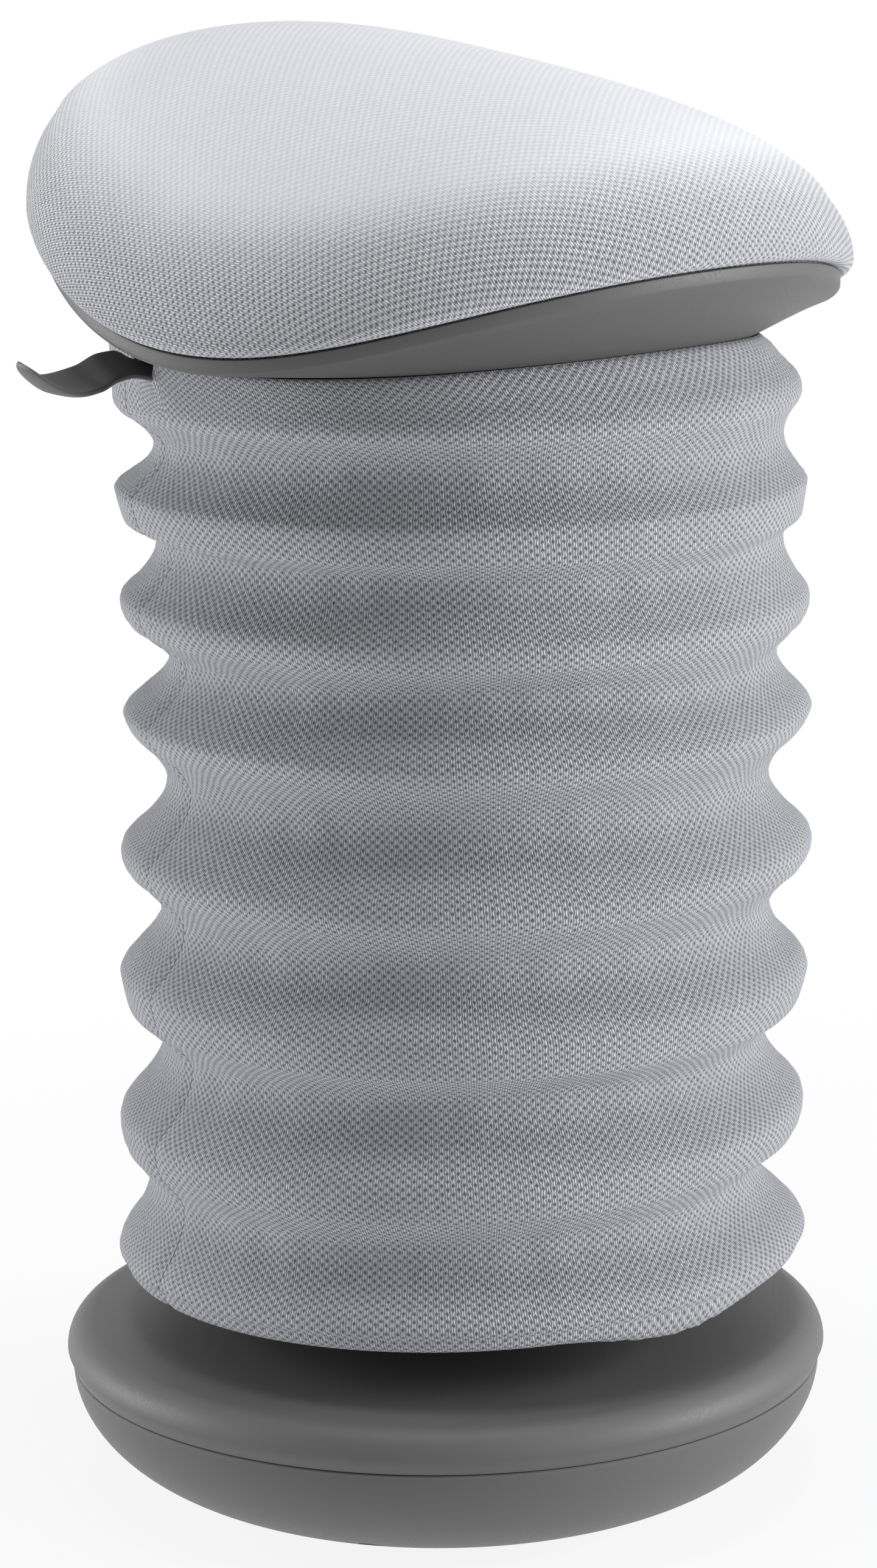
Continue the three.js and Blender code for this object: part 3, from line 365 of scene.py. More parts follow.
# %% Ring skin helper
def skin(name, rings, ends, finish=None, weave=None, pull=None):
    """A smooth mesh over rings of points in millimetres; ends is "points" or "loop"."""
    rows, columns = rings.shape[:2]
    points = [tuple(p) for p in rings.reshape(-1, 3) * MM]
    joins = rows if ends == "loop" else rows - 1
    faces, corners = [], []
    for i in range(joins):
        near, far = i * columns, (i + 1) % rows * columns
        for j in range(columns):
            k = (j + 1) % columns
            faces.append((near + j, near + k, far + k, far + j))
            corners.append(((i, j), (i, j + 1), (i + 1, j + 1), (i + 1, j)))
    if ends == "points":
        for row, order in ((0, -1), (rows - 1, 1)):
            points.append(tuple(rings[row].mean(0) * MM))
            for j in range(columns):
                face = [row * columns + j, row * columns + (j + 1) % columns, len(points) - 1]
                faces.append(tuple(face[::order]))
                corners.append([(row, j), (row, j + 1), (row, None)][::order])
    mesh = bpy.data.meshes.new(name)
    mesh.from_pydata(points, [], faces)
    if weave is not None:
        flat = [weave[spot] if spot[1] is not None else weave[spot[0], :-1].mean(0)
                for loop in corners for spot in loop]
        mesh.uv_layers.new(name="weave").data.foreach_set("uv", np.array(flat, np.float32).ravel())
        stretched = np.append(pull.ravel(), [pull[0].mean(), pull[-1].mean()])[:len(points)]
        attribute = mesh.attributes.new("pull", "FLOAT", "POINT")
        attribute.data.foreach_set("value", stretched.astype(np.float32))
    if finish:
        mesh.materials.append(finish)
    work = bmesh.new()
    work.from_mesh(mesh)
    bmesh.ops.remove_doubles(work, verts=work.verts, dist=1e-6)
    bmesh.ops.recalc_face_normals(work, faces=work.faces)
    work.to_mesh(mesh)
    work.free()
    mesh.shade_smooth()
    piece = bpy.data.objects.new(name, mesh)
    scene.collection.objects.link(piece)
    return piece


def around(count):
    """Plan angles of a ring, from the front (-Y) round towards +X."""
    return np.arange(count) / count * TURN


def ring(radius, angle, height, centre=(0.0, 0.0)):
    """Points at plan angles, radii and heights round a centre."""
    radius, angle, height = np.broadcast_arrays(radius, angle, height)
    return np.stack([
        centre[0] + radius * np.sin(angle), centre[1] - radius * np.cos(angle), height], -1)


def rings_at(maker, stations, angle):
    """Rings that the maker gives at each pair of inset and lift."""
    return [maker(inside, lift, angle) for inside, lift in stations]


def through_stations(table, wanted):
    """Rows of a table at the wanted first values, on curves that don't overshoot."""
    reach = table[:, 0]
    slopes = np.diff(table, axis=0) / np.diff(reach)[:, None]
    tangents = np.zeros_like(table)
    same_way = slopes[:-1] * slopes[1:] > 0
    tangents[1:-1] = np.where(same_way, 2 * slopes[:-1] * slopes[1:] / np.where(
        same_way, slopes[:-1] + slopes[1:], 1), 0)
    tangents[-1] = slopes[-1]
    spans = np.clip(np.searchsorted(reach, wanted, side="right") - 1, 0, len(reach) - 2)
    width = (reach[spans + 1] - reach[spans])[:, None]
    t = (wanted[:, None] - reach[spans][:, None]) / width
    low, high = table[spans], table[spans + 1]
    return (low * (1 + 2 * t) * (1 - t) ** 2 + high * t * t * (3 - 2 * t)
            + width * (tangents[spans] * t * (1 - t) ** 2 - tangents[spans + 1] * t * t * (1 - t)))


def soft_step(value, low, high):
    """0 below low, 1 above high and an even S between."""
    t = np.clip((value - low) / (high - low), 0, 1)
    return t * t * (3 - 2 * t)

# %% [markdown]
# ## The saddle seat's surfaces
#
# The seat is a saddle: its rim rises at the back and sides and falls at the front. Its plan, its
# rim and the pad's top are sums of a few cosines of the plan angle, the same ones as in the CAD
# model, so the cloth lies where the CAD says it does.

# %% Saddle surfaces
SEAT_RADIUS = 181
SHELL_BOTTOM = 538
SHELL_WALL = 3.5
SHELL_BAND = 7
SHELL_FLAT = 0.74
SHELL_CURVE = 1.2
RIM_HEIGHT = SHELL_BOTTOM + 42.7
CROWN_HEIGHT = SHELL_BOTTOM + 83.3
PAD_BULGE = 6
RIM_WALL = 3
SHADOW_GAP = 0.9
TUCK = RIM_WALL + SHADOW_GAP
CLOTH = 2.4
HEM_WIDTH = 12
PLAN_WAVES = (0.03, -0.012, -0.006)
RIM_WAVES = (-21.5, 21.8, 6, -4)
PAD_FULLNESS = 48.7
PAD_WAVES = (-6.6, 3.2)
PAD_SQUARENESS = 5.3


def waved(sizes, angle, share=1.0):
    """Sum of cosines: the n-th goes n times round and grows with the share's n-th power."""
    return sum(size * np.cos(n * angle) * share ** n for n, size in enumerate(sizes, 1))


def plan_radius(angle):
    return SEAT_RADIUS * (1 + waved(PLAN_WAVES, angle))


def saddle(share, angle):
    return CROWN_HEIGHT * (1 - share ** 2) + RIM_HEIGHT * share ** 2 + waved(RIM_WAVES, angle, share)


def rim_at(angle):
    return saddle(1.0, angle)


def shell_under(share, angle):
    climb = np.clip((share - SHELL_FLAT) / (1 - SHELL_FLAT), 0, None) ** SHELL_CURVE
    return SHELL_BOTTOM + (rim_at(angle) - SHELL_BAND - SHELL_BOTTOM) * climb


def pad_ring(share, inset, angle):
    """Ring of the pad's top, by its share of the way out and how far inside the cover it lies."""
    fullness = PAD_FULLNESS - inset + waved(PAD_WAVES, angle, share)
    rise = fullness * np.sqrt(max(0.0, 1 - share ** PAD_SQUARENESS))
    height = saddle(share, angle) + PAD_BULGE * share ** 2 + rise
    return ring((plan_radius(angle) + PAD_BULGE - inset) * share, angle, height)


def rim_ring(inside, lift, angle):
    """Ring so far inside the shell's edge and above its rim."""
    return ring(plan_radius(angle) - inside, angle, rim_at(angle) + lift)


def floor_ring(inside, lift, angle):
    """Ring so far inside the shell's edge and above its inner face."""
    radius = plan_radius(angle) - inside
    return ring(radius, angle, shell_under(radius / plan_radius(angle), angle) + SHELL_WALL + lift)


print("rim height front, side, back:", [round(float(rim_at(a)), 1) for a in (0, math.pi / 2, math.pi)])

# %% [markdown]
# ## Rings of the seat cover
#
# One piece of knit is pulled over the pad, tucked in along the shell's rim and hemmed underneath.
# It has no seam on top, and the tension keeps it free of wrinkles. It could be a subdivided cage,
# but rings carry the knit better. The pad's crown falls ever more steeply near its edge, so the
# rings lie closer together there. A point's UV is its way from the crown along the cloth, in its
# compass direction, which is how a flat cloth stretches over a dome.

# %% Seat cover rings
COVER_COLUMNS = 240
CROWN_RINGS = 64
CROWN_FROM = 0.02


def smooth_rings(rings, steps):
    """Rings between these ones, on smooth curves through their points."""
    padded = np.concatenate([rings[:1] * 2 - rings[1:2], rings, rings[-1:] * 2 - rings[-2:-1]])
    result = []
    for i in range(len(rings) - 1):
        a, b, c, d = padded[i:i + 4]
        for t in np.arange(steps) / steps:
            result.append(0.5 * (2 * b + (c - a) * t + (2 * a - 5 * b + 4 * c - d) * t ** 2
                                 + (3 * b - a - 3 * c + d) * t ** 3))
    return np.array(result + [rings[-1]])


def dome_weave(rings):
    """UV in metres: each point's way from the middle along the cloth, in its own direction."""
    steps = np.linalg.norm(np.diff(rings, axis=0), axis=-1)
    first = np.linalg.norm(rings[:1] - rings[0].mean(0), axis=-1)
    way = np.cumsum(np.concatenate([first, steps]), axis=0)
    angle = around(rings.shape[1])
    flat = np.stack([way * np.sin(angle), -way * np.cos(angle)], -1) * MM
    return np.concatenate([flat, flat[:, :1]], 1)


cover_angles = around(COVER_COLUMNS)
crown_shares = np.sin(np.linspace(CROWN_FROM, 1, CROWN_RINGS) ** 0.9 * math.pi / 2) ** 0.8
crown_shares[-1] = 1.0
print("crown rings:", len(crown_shares), "of", COVER_COLUMNS, "points")

# %% [markdown]
# ## Letting cloth settle
#
# Drawn cloth is too even. A short cloth simulation lets it settle: the rows that are held stay put,
# and the rest moves under pressure or its own weight. It runs on a coarse copy, and how far each
# point went is smoothed, capped and spread over all the rings, so the fine pattern and the way the
# piece fits its neighbours stay. The same few lines serve the padded cover and the hanging sleeve.

# %% Cloth settling helper
SETTLE_FRAMES = 16
SETTLE_SMOOTHING = 6


def spread(values, count, wrap):
    """Values at evenly spaced places, from fewer places, along the first axis."""
    source = np.concatenate([values, values[:1]]) if wrap else values
    where = np.linspace(0, len(source) - 1, count, endpoint=not wrap)
    low = np.minimum(where.astype(int), len(source) - 2)
    part = (where - low).reshape(-1, *[1] * (values.ndim - 1))
    return source[low] * (1 - part) + source[low + 1] * part


def regrid(rings, rows, columns):
    """Rings with this many rows and columns in place of the given ones."""
    return spread(spread(rings, rows, False).transpose(1, 0, 2), columns, True).transpose(1, 0, 2)


def settled(name, rings, held, pressure, weight, slack, cap):
    """These rings after a short cloth simulation; held says how firmly each ring is held, 0 to 1."""
    rows, columns = rings.shape[0] // 2 + 1, rings.shape[1] // 2
    coarse = regrid(rings, rows, columns)
    faces = [(i * columns + j, (i + 1) * columns + j,
              (i + 1) * columns + (j + 1) % columns, i * columns + (j + 1) % columns)
             for i in range(rows - 1) for j in range(columns)]
    mesh = bpy.data.meshes.new(name)
    mesh.from_pydata((coarse.reshape(-1, 3) * MM).tolist(), [], faces)
    cloth = bpy.data.objects.new(name, mesh)
    scene.collection.objects.link(cloth)
    pins = cloth.vertex_groups.new(name="held")
    for i, firm in enumerate(spread(held, rows, False)):
        pins.add(range(i * columns, (i + 1) * columns), float(firm), "REPLACE")
    fabric = cloth.modifiers.new("cloth", "CLOTH").settings
    fabric.quality = 5
    fabric.mass = 0.2
    fabric.bending_stiffness = 0.4
    fabric.vertex_group_mass = "held"
    fabric.use_pressure = pressure > 0
    fabric.uniform_pressure_force = pressure
    fabric.shrink_min = -slack
    fabric.effector_weights.gravity = weight
    for step in range(1, SETTLE_FRAMES + 1):
        scene.frame_set(step)
    now = cloth.evaluated_get(bpy.context.evaluated_depsgraph_get()).data
    places = np.empty(len(mesh.vertices) * 3, np.float32)
    now.vertices.foreach_get("co", places)
    moved = places.reshape(coarse.shape) / MM - coarse
    for _ in range(SETTLE_SMOOTHING):
        moved = (np.roll(moved, 1, 1) + 2 * moved + np.roll(moved, -1, 1)) / 4
    bpy.data.objects.remove(cloth)
    scene.frame_set(1)
    far = np.linalg.norm(moved, axis=-1, keepdims=True)
    moved *= np.minimum(1, cap / np.maximum(far, 1e-6))
    print(name, "moved by up to", round(float(far.max()), 2), "mm before the cap")
    return rings + regrid(moved, *rings.shape[:2])

# %% [markdown]
# ## Seat cover
#
# The cover is a double skin of rings: the outside from the crown to the tuck, then the hem and the
# inside. Only the outside is simulated. It starts a millimetre inside its place and a little
# pressure from the pad swells it out, which is what makes a sewn cover look full. The tuck, the hem
# and the inside are then drawn on. Where the cloth is stretched over the edge, the pull opens the
# knit's holes and deepens their painted shade.

# %% Seat cover
SWELL_ROOM = 1.0
SWELL_CAP = 1.6
SWELL_PRESSURE = 3.0
FLAT_PULL = 0.3
taut = np.array([pad_ring(s, SWELL_ROOM * (1 - s ** 8), cover_angles) for s in crown_shares])
outside = settled("settling_seat", taut, soft_step(crown_shares, 0.9, 1.0),
                  pressure=SWELL_PRESSURE, weight=0.0, slack=0.01, cap=SWELL_CAP)
tuck = smooth_rings(np.array([outside[-1]] + rings_at(rim_ring, [
    (-0.86 * PAD_BULGE, 0.62 * PAD_BULGE), (-0.5 * PAD_BULGE, 0.28 * PAD_BULGE),
    (0.1 * PAD_BULGE, SHADOW_GAP), (TUCK, SHADOW_GAP)], cover_angles)), 3)[1:]
hem = rings_at(floor_ring, [
    (TUCK, SHADOW_GAP), (TUCK + HEM_WIDTH, SHADOW_GAP), (TUCK + HEM_WIDTH, CLOTH),
    (TUCK + CLOTH, CLOTH)], cover_angles)
hem += rings_at(rim_ring, [
    (TUCK + CLOTH, SHADOW_GAP + CLOTH), (0.2 * PAD_BULGE, SHADOW_GAP + CLOTH),
    (-0.37 * PAD_BULGE, 0.82 * PAD_BULGE)], cover_angles)
inside = [pad_ring(s, CLOTH, cover_angles) for s in crown_shares[::-3]]
cover_rings = np.concatenate([outside, tuck, hem, inside])
# The pull sets the knit's bump and painted shade: full on the tuck and edge, less on the slack top
cover_pull = np.full(cover_rings.shape[:2], 1.0)
edge_pull = soft_step(crown_shares, 0.8, 0.99)[:, None]
cover_pull[:len(outside)] = FLAT_PULL + (1 - FLAT_PULL) * edge_pull
seat_cover = skin("seat_cover_knit", cover_rings, "points", seat_knit,
                  dome_weave(cover_rings), cover_pull)
print("seat cover faces:", len(seat_cover.data.polygons))

# %% [markdown]
# ## Foam pad
#
# Under the cover is a moulded polyurethane pad, flat over the board and with the same crown on top.
# Its skin is dull and cream with small open cells; the darker cream in each cell's hollow is painted
# shade. It is hidden when the stool is whole, so a plain skin over a few rings is enough, a cloth's
# thickness inside the cover.

# %% Foam pad
FOAM_INSET = CLOTH + 0.3
FOAM_EDGE = TUCK + FOAM_INSET
FOAM_LIFT = 3.1
FOAM_FLOOR = 552.6
FOAM_STEP = 101
FOAM_FLAT = 0.8
foam_angles = around(96)
foam_base = SHELL_WALL + FOAM_LIFT
foam_bend = shell_under(FOAM_FLAT, foam_angles) + foam_base
foam_rings = np.array([
    ring(FOAM_STEP, foam_angles, FOAM_FLOOR),
    ring(FOAM_STEP + 3, foam_angles, SHELL_BOTTOM + foam_base),
    ring(plan_radius(foam_angles) * FOAM_FLAT, foam_angles, foam_bend)]
    + rings_at(floor_ring, [(FOAM_EDGE + HEM_WIDTH, FOAM_LIFT), (FOAM_EDGE, FOAM_LIFT)], foam_angles)
    + rings_at(rim_ring, [
        (FOAM_EDGE, SHADOW_GAP + FOAM_INSET), (0.2 * PAD_BULGE, SHADOW_GAP + FOAM_INSET),
        (-0.3 * PAD_BULGE, 0.9 * PAD_BULGE)], foam_angles)
    + [pad_ring(s, FOAM_INSET, foam_angles) for s in crown_shares[::-4]])

CELL = 1.6 * MM
CELL_DEPTH = 0.6 * MM
foam_finish, foam_tree, foam_shader = finish_named("cut polyurethane foam", {
    "Roughness": 0.95, "Specular IOR Level": 0.2})
foam_cells = add(foam_tree, "ShaderNodeTexVoronoi", {
    "Vector": add(foam_tree, "ShaderNodeTexCoord").outputs["Object"], "Scale": 1 / CELL})
cell_wall = foam_cells.outputs["Distance"]
# Painted shade: the cream darkens towards each cell's middle, where the pore is hollow
foam_cream_and_pore_shade = add(foam_tree, "ShaderNodeMix", {
    "Factor": cell_wall, 6: linear("C9BF9F"), 7: linear("EFE8CF")}, data_type="RGBA")
foam_bump = add(foam_tree, "ShaderNodeBump", {
    "Height": cell_wall, "Strength": 0.6, "Distance": CELL_DEPTH})
feed(foam_tree, foam_shader, {"Base Color": foam_cream_and_pore_shade.outputs[2], "Normal": foam_bump})
seat_pad = skin("seat_pad_foam", foam_rings, "points", foam_finish)
print("foam faces:", len(seat_pad.data.polygons))

# %% [markdown]
# ## Seat shell
#
# The shell is a thin moulded dish. It is flat in the middle and sweeps up to its rim in one smooth
# curve, with a small round where the two meet, which gives the moulding its gentle highlight. A
# shallow channel in the underside lets the lever rise. A fine ring grid takes all of this from one
# function of place, with no cutting.

# %% Seat shell
SHELL_COLUMNS = 360
LEVER_TURN = math.radians(165)
SLOT_HALF_WIDTH = 15
RELIEF = 2
RELIEF_REACH = 170
RELIEF_RAMP = 6
RIM_ROUND = 3.0
ROUND_RISE = 0.6
shell_angles = around(SHELL_COLUMNS)


def beside_lever(points):
    """Reach along the lever and distance to its left, for points in the plan."""
    reach = points[..., 0] * math.cos(LEVER_TURN) + points[..., 1] * math.sin(LEVER_TURN)
    side = -points[..., 0] * math.sin(LEVER_TURN) + points[..., 1] * math.cos(LEVER_TURN)
    return reach, side


def relieved(points):
    """These points of the underside, raised where the lever runs."""
    reach, side = beside_lever(points)
    raised = points.copy()
    raised[..., 2] += (
        RELIEF * soft_step(-np.abs(side), -SLOT_HALF_WIDTH - 1, -SLOT_HALF_WIDTH + 1)
        * soft_step(reach, FOAM_STEP, FOAM_STEP + RELIEF_RAMP)
        * soft_step(-reach, -RELIEF_REACH, RELIEF_RAMP - RELIEF_REACH))
    return raised


def shell_ring(share, lift=0.0):
    radius = plan_radius(shell_angles) * share
    return ring(radius, shell_angles, shell_under(share, shell_angles) + lift)


under_shares = np.append(np.linspace(0.1, SHELL_FLAT - 0.02, 6), np.linspace(SHELL_FLAT, 0.98, 30))
under = relieved(np.array([shell_ring(s) for s in under_shares]))
corner = []
for t in np.linspace(0, math.pi / 2, 7)[1:]:
    inset = RIM_ROUND * (1 - math.sin(t))
    radius = plan_radius(shell_angles) - inset
    height = shell_under(radius / plan_radius(shell_angles), shell_angles)
    corner.append(ring(radius, shell_angles, height + ROUND_RISE * RIM_ROUND * (1 - math.cos(t))))
rim = rings_at(rim_ring, [
    (0.0, -0.9), (0.25, -0.25), (0.9, 0.0), (RIM_WALL - 0.5, 0.0), (RIM_WALL, -0.5)], shell_angles)
rim += rings_at(floor_ring, [(RIM_WALL, 1.0), (RIM_WALL + 1.2, 0.0)], shell_angles)
inner_shares = np.append(np.linspace(0.96, SHELL_FLAT, 14), np.linspace(SHELL_FLAT - 0.04, 0.1, 5))
inner = [shell_ring(s, SHELL_WALL) for s in inner_shares]
shell_rings = np.concatenate([under, corner, rim, inner])
seat_shell = skin("seat_shell_moulding", shell_rings, "points", shell_plastic)
print("shell faces:", len(seat_shell.data.polygons))

# %% [markdown]
# ## Pleated sleeve
#
# The sleeve is a knit tube. Eight wire hoops inside hold out its ridges, and between them the cloth
# falls in, deeper on some sides than on others. The tube hangs a little off the column and its
# lower hoops tilt. Its side seam runs down near the sitter's right. The cloth bulges softly over
# each ridge, turns in at a crisp line a little below it, and falls to a round valley, so the
# profile is a smooth curve through measured places. Small waves in height and depth, the same each
# run, take the machine look off it. The top edge follows the shell and has a notch for the lever;
# the bottom is a wide hem.

# %% Sleeve measures
SLEEVE_COLUMNS = 288
KNIT = 3
COVER_EDGE = 78.2
STRIP_RADIUS = 140
KNIT_TOP = 148.6
KNIT_SEAT = 0.6
HANG = 12
HANG_TURN = math.radians(45)
HANG_WAY = (math.sin(HANG_TURN), -math.cos(HANG_TURN))
SLEEVE_DROP = SHELL_BOTTOM - COVER_EDGE
HOOP_SHARES = np.array([0.954, 0.863, 0.748, 0.635, 0.496, 0.367, 0.222, 0.085])
HOOP_HEIGHTS = COVER_EDGE + HOOP_SHARES * SLEEVE_DROP
HOOP_RADII = STRIP_RADIUS + np.array([17.5, 19, 19, 19.5, 21, 21, 21, 22.5])
HOOP_TILTS = np.array([0, 0, -2, 0, 2, -1, 6, 7])
HOOP_HANGS = HANG * np.array([0.9, 1, 1.1, 1.15, 1.05, 0.9, 0.75, 0.7])
FOLD_DEPTHS = np.array([14.5, 15, 19, 21, 19.5, 20, 18])
FOLD_LEANS = np.array([-4, -4, -3, -1, 0.5, 0.5, 4])
SEAM_TOP = math.radians(-117)
SEAM_DRIFT = math.radians(13)
sleeve_turns = around(SLEEVE_COLUMNS)


def sleeve_angle(height):
    """Plan angles of a ring's points; they start at the seam, which drifts round on its way down."""
    return SEAM_TOP + SEAM_DRIFT * (SHELL_BOTTOM - height) / SLEEVE_DROP + sleeve_turns


def ripple(seed, waves, size):
    """A small wave round a ring, made of a few cosines with a fixed seed."""
    phases = np.random.default_rng(seed).uniform(0, TURN, len(waves))
    return size * sum(np.cos(n * sleeve_turns + p) / n ** 0.5 for n, p in zip(waves, phases))


def hung_ring(radius, height, hang, tilt):
    """Ring of the sleeve: off centre by its hang and tilted across it."""
    angle = sleeve_angle(np.mean(height))
    tilted = height + tilt / 2 * np.cos(angle - HANG_TURN)
    return ring(radius, angle, tilted, (hang * HANG_WAY[0], hang * HANG_WAY[1]))


print("hoop heights:", [round(float(h), 1) for h in HOOP_HEIGHTS])

# %% Sleeve rings
FOLD_STEPS = 21
EDGE_DROPS = np.array([0.13, 0.29, 0.2, 0.13, 0.16, 0.23, 0.22])
EDGE_WIDTH = 0.045
VALLEY_AT = 0.45
GATHERS = (23, 29, 37, 44)
GATHER_SIZE = 0.7
DEPTH_RIPPLE = 0.7
HEIGHT_RIPPLE = 1.2


def fold_profile(edge):
    """Rows of [way down, share of the fold's depth] from one ridge to the next."""
    rise = 1 - VALLEY_AT
    table = np.array([
        (0, 0), (0.5 * edge, 0.03), (edge, 0.14), (edge + EDGE_WIDTH, 0.4),
        (0.45 * edge + 0.55 * VALLEY_AT, 0.8), (VALLEY_AT - 0.03, 0.98), (VALLEY_AT, 1),
        (VALLEY_AT + 0.14 * rise, 0.96), (VALLEY_AT + 0.36 * rise, 0.77),
        (VALLEY_AT + 0.6 * rise, 0.46), (VALLEY_AT + 0.78 * rise, 0.18),
        (VALLEY_AT + 0.91 * rise, 0.04), (1, 0)])
    wanted = np.concatenate([
        edge * np.array([0, 0.35, 0.65, 0.85, 1]), edge + EDGE_WIDTH * np.array([0.5, 1]),
        np.linspace(edge + EDGE_WIDTH, VALLEY_AT, 6)[1:], np.linspace(VALLEY_AT, 1, 11)[1:-1]])
    return through_stations(table, wanted)


def fold_rings(i):
    """Rings of the fold from hoop i to the next one down, without the last."""
    rows = []
    lean = FOLD_LEANS[i] * np.cos(sleeve_angle(HOOP_HEIGHTS[i]) - HANG_TURN)
    depth = FOLD_DEPTHS[i] + lean + ripple(20 + i, (3, 4, 5, 7), DEPTH_RIPPLE)
    for t, fallen in fold_profile(EDGE_DROPS[i]):
        ridge, height, hang, tilt = (
            row[i] + (row[i + 1] - row[i]) * t
            for row in (HOOP_RADII, HOOP_HEIGHTS, HOOP_HANGS, HOOP_TILTS))
        height = height + ripple(40 + i, (2, 3, 5, 6), HEIGHT_RIPPLE) * fallen
        gathered = ripple(60 + i, GATHERS, GATHER_SIZE) * fallen ** 2
        rows.append(hung_ring(ridge - depth * fallen + gathered, height, hang, tilt))
    return rows


STRAP_HALF = 9.5
NOTCH_EDGE = 1.5
STRAP_FLOOR = 534.2
STRAP_SLOPE = math.tan(math.radians(17))


def knit_top(radius):
    """Top edge of the sleeve under the shell, with a notch that the lever's strap lies in."""
    angle = sleeve_angle(SHELL_BOTTOM)
    held = shell_under(radius / plan_radius(angle), angle) - KNIT_SEAT
    points = ring(radius, angle, held)
    reach, side = beside_lever(points)
    notch = soft_step(-np.abs(side), -STRAP_HALF - NOTCH_EDGE, -STRAP_HALF) * (reach > 0)
    points[..., 2] += (STRAP_FLOOR - STRAP_SLOPE * side - held) * notch
    return points


top_edge = knit_top(KNIT_TOP)
fall = hung_ring(HOOP_RADII[0], HOOP_HEIGHTS[0], HOOP_HANGS[0], HOOP_TILTS[0]) - top_edge
shoulder = []
for t in np.linspace(0, 1, 12)[:-1]:
    bow = np.array([1, 1, 0]) * fall * (math.sin(t * math.pi / 2) - t)
    shoulder.append(top_edge + fall * t + bow)
body_rings = [row for i in range(7) for row in fold_rings(i)]
SLACK_TURN = math.radians(-7)
SLACK_SPREAD = math.radians(24)
HEM_WRINKLE = 0.05
hem_angle = sleeve_angle(HOOP_HEIGHTS[7])
from_slack = np.abs((hem_angle - SLACK_TURN + math.pi) % TURN - math.pi)
hem_slack = soft_step(1 - from_slack / SLACK_SPREAD, 0, 1)
# Each ring of the hem: how far inside the last ridge, how far above it, and its sag where it is slack
HEM_STATIONS = [
    (0, 0, 0), (1.6, -2.2, 0), (2.6, -3.2, 0.3), (2.6, -5, 1.5), (4.2, -8, 4),
    (9, -10.5, 6), (20, -11, 4), (30, -11, 1), (40, -11, 0)]
hem_rings = []
for inset, lift, sag in HEM_STATIONS:
    loose = hem_slack * sag
    wrinkle = loose * HEM_WRINKLE * (np.cos(hem_angle * 61) + np.cos(hem_angle * 83 + 1))
    height = HOOP_HEIGHTS[7] + lift - loose + wrinkle
    hem_rings.append(hung_ring(HOOP_RADII[7] - inset, height, HOOP_HANGS[7], HOOP_TILTS[7]))
drawn_rings = np.concatenate([shoulder, body_rings, smooth_rings(np.array(hem_rings), 3)])
held_rows = np.zeros(len(drawn_rings))
held_rows[:2] = 1
held_rows[len(shoulder) + np.arange(8) * FOLD_STEPS] = 1
held_rows[len(shoulder) + 7 * FOLD_STEPS:] = 1
held_rows = np.maximum.reduce([held_rows, np.roll(held_rows, 1), np.roll(held_rows, -1)])
print("sleeve rings:", len(drawn_rings), "held:", int(held_rows.sum()))

# %% Sleeve
SETTLE_CAP = 1.2
SEAM_GROOVE = 0.9
KNIT_COLUMNS = 408
outer_rings = settled("settling_sleeve", drawn_rings, held_rows,
                      pressure=0.0, weight=1.0, slack=0.0, cap=SETTLE_CAP)
from_seam = np.minimum(np.arange(SLEEVE_COLUMNS), SLEEVE_COLUMNS - np.arange(SLEEVE_COLUMNS))
groove = SEAM_GROOVE * np.maximum(0, np.cos(np.minimum(from_seam, 2) * math.pi / 4))


def cloth_normals(rings):
    """Outward unit normals at each point of the sleeve's rings."""
    down = np.gradient(rings, axis=0)
    round_it = np.roll(rings, -1, axis=1) - np.roll(rings, 1, axis=1)
    out = np.cross(down, round_it)
    out /= np.linalg.norm(out, axis=-1, keepdims=True)
    return out * np.sign((out[:, :, :2] * rings[:, :, :2]).sum((1, 2)))[0]


outward = cloth_normals(outer_rings)
outer_rings = outer_rings - outward * groove[None, :, None]
inner_rings = (outer_rings - cloth_normals(outer_rings) * KNIT)[::-2]
sleeve_rings = np.concatenate([outer_rings, inner_rings])
steps_down = np.linalg.norm(np.diff(sleeve_rings, axis=0), axis=-1).mean(1)
way_down = np.concatenate([[0], np.cumsum(steps_down)]) * MM
tube_width = KNIT_COLUMNS * COLUMN
sleeve_weave = np.stack(np.meshgrid(
    np.linspace(0, tube_width, SLEEVE_COLUMNS + 1), np.append(way_down, way_down[-1])), -1)
# The sleeve's pull is 1 all over, so its knit gets the full bump and painted shade
sleeve = skin("bellows_sleeve_knit", sleeve_rings, "loop", sleeve_knit, sleeve_weave,
              np.ones(sleeve_rings.shape[:2]))
print("sleeve faces:", len(sleeve.data.polygons))

# %% [markdown]
# ## Foot
#
# The foot is two turned-looking mouldings that meet in a parting line below the widest ring: a
# rounded bowl and a cover with a soft edge, a gentle slope and a raised collar round the column.
# Both are profiles turned round the axis in fine steps. The bowl's screw wells are cut from it
# further down.

# %% Foot mouldings
FOOT_COLUMNS = 288
SEAM_RADIUS = 177.5
SEAM_HEIGHT = 57.5
FOOT_RADIUS = 106
FOOT_HEIGHT = 1.2
BASE_RADIUS = 180
WIDEST = 64.6
EDGE_RADIUS = 13.6
COVER_WALL = 3.5
BOWL_WALL = 4
GAP = 0.3
COVER_TOP = 86
COLLAR_IN = 32.6
COLLAR_OUT = 38.6
COVER_SLOPE = [(110, 82.2), (70, 84.2), (44, 85.8)]
COLLAR = [(42, 86.2), (40.2, 87.4), (39.2, 88.9), (38.3, 89.7), (37.2, 90), (33.6, 90),
          (COLLAR_IN, 89.2)]
CENTRE_HOLE = 0.5
SOLE_RADIUS = 98.3
BOWL_FLOOR = 3.3
TONGUE_WALL = 1.5
TONGUE_RISE = 4
BOWL_SQUARENESS = 1.15


def turned(name, profile, columns, finish=None):
    """A closed wall turned round the axis from its outline of [radius, height] pairs."""
    return skin(name, np.array([ring(r, around(columns), z) for r, z in profile]), "loop", finish)


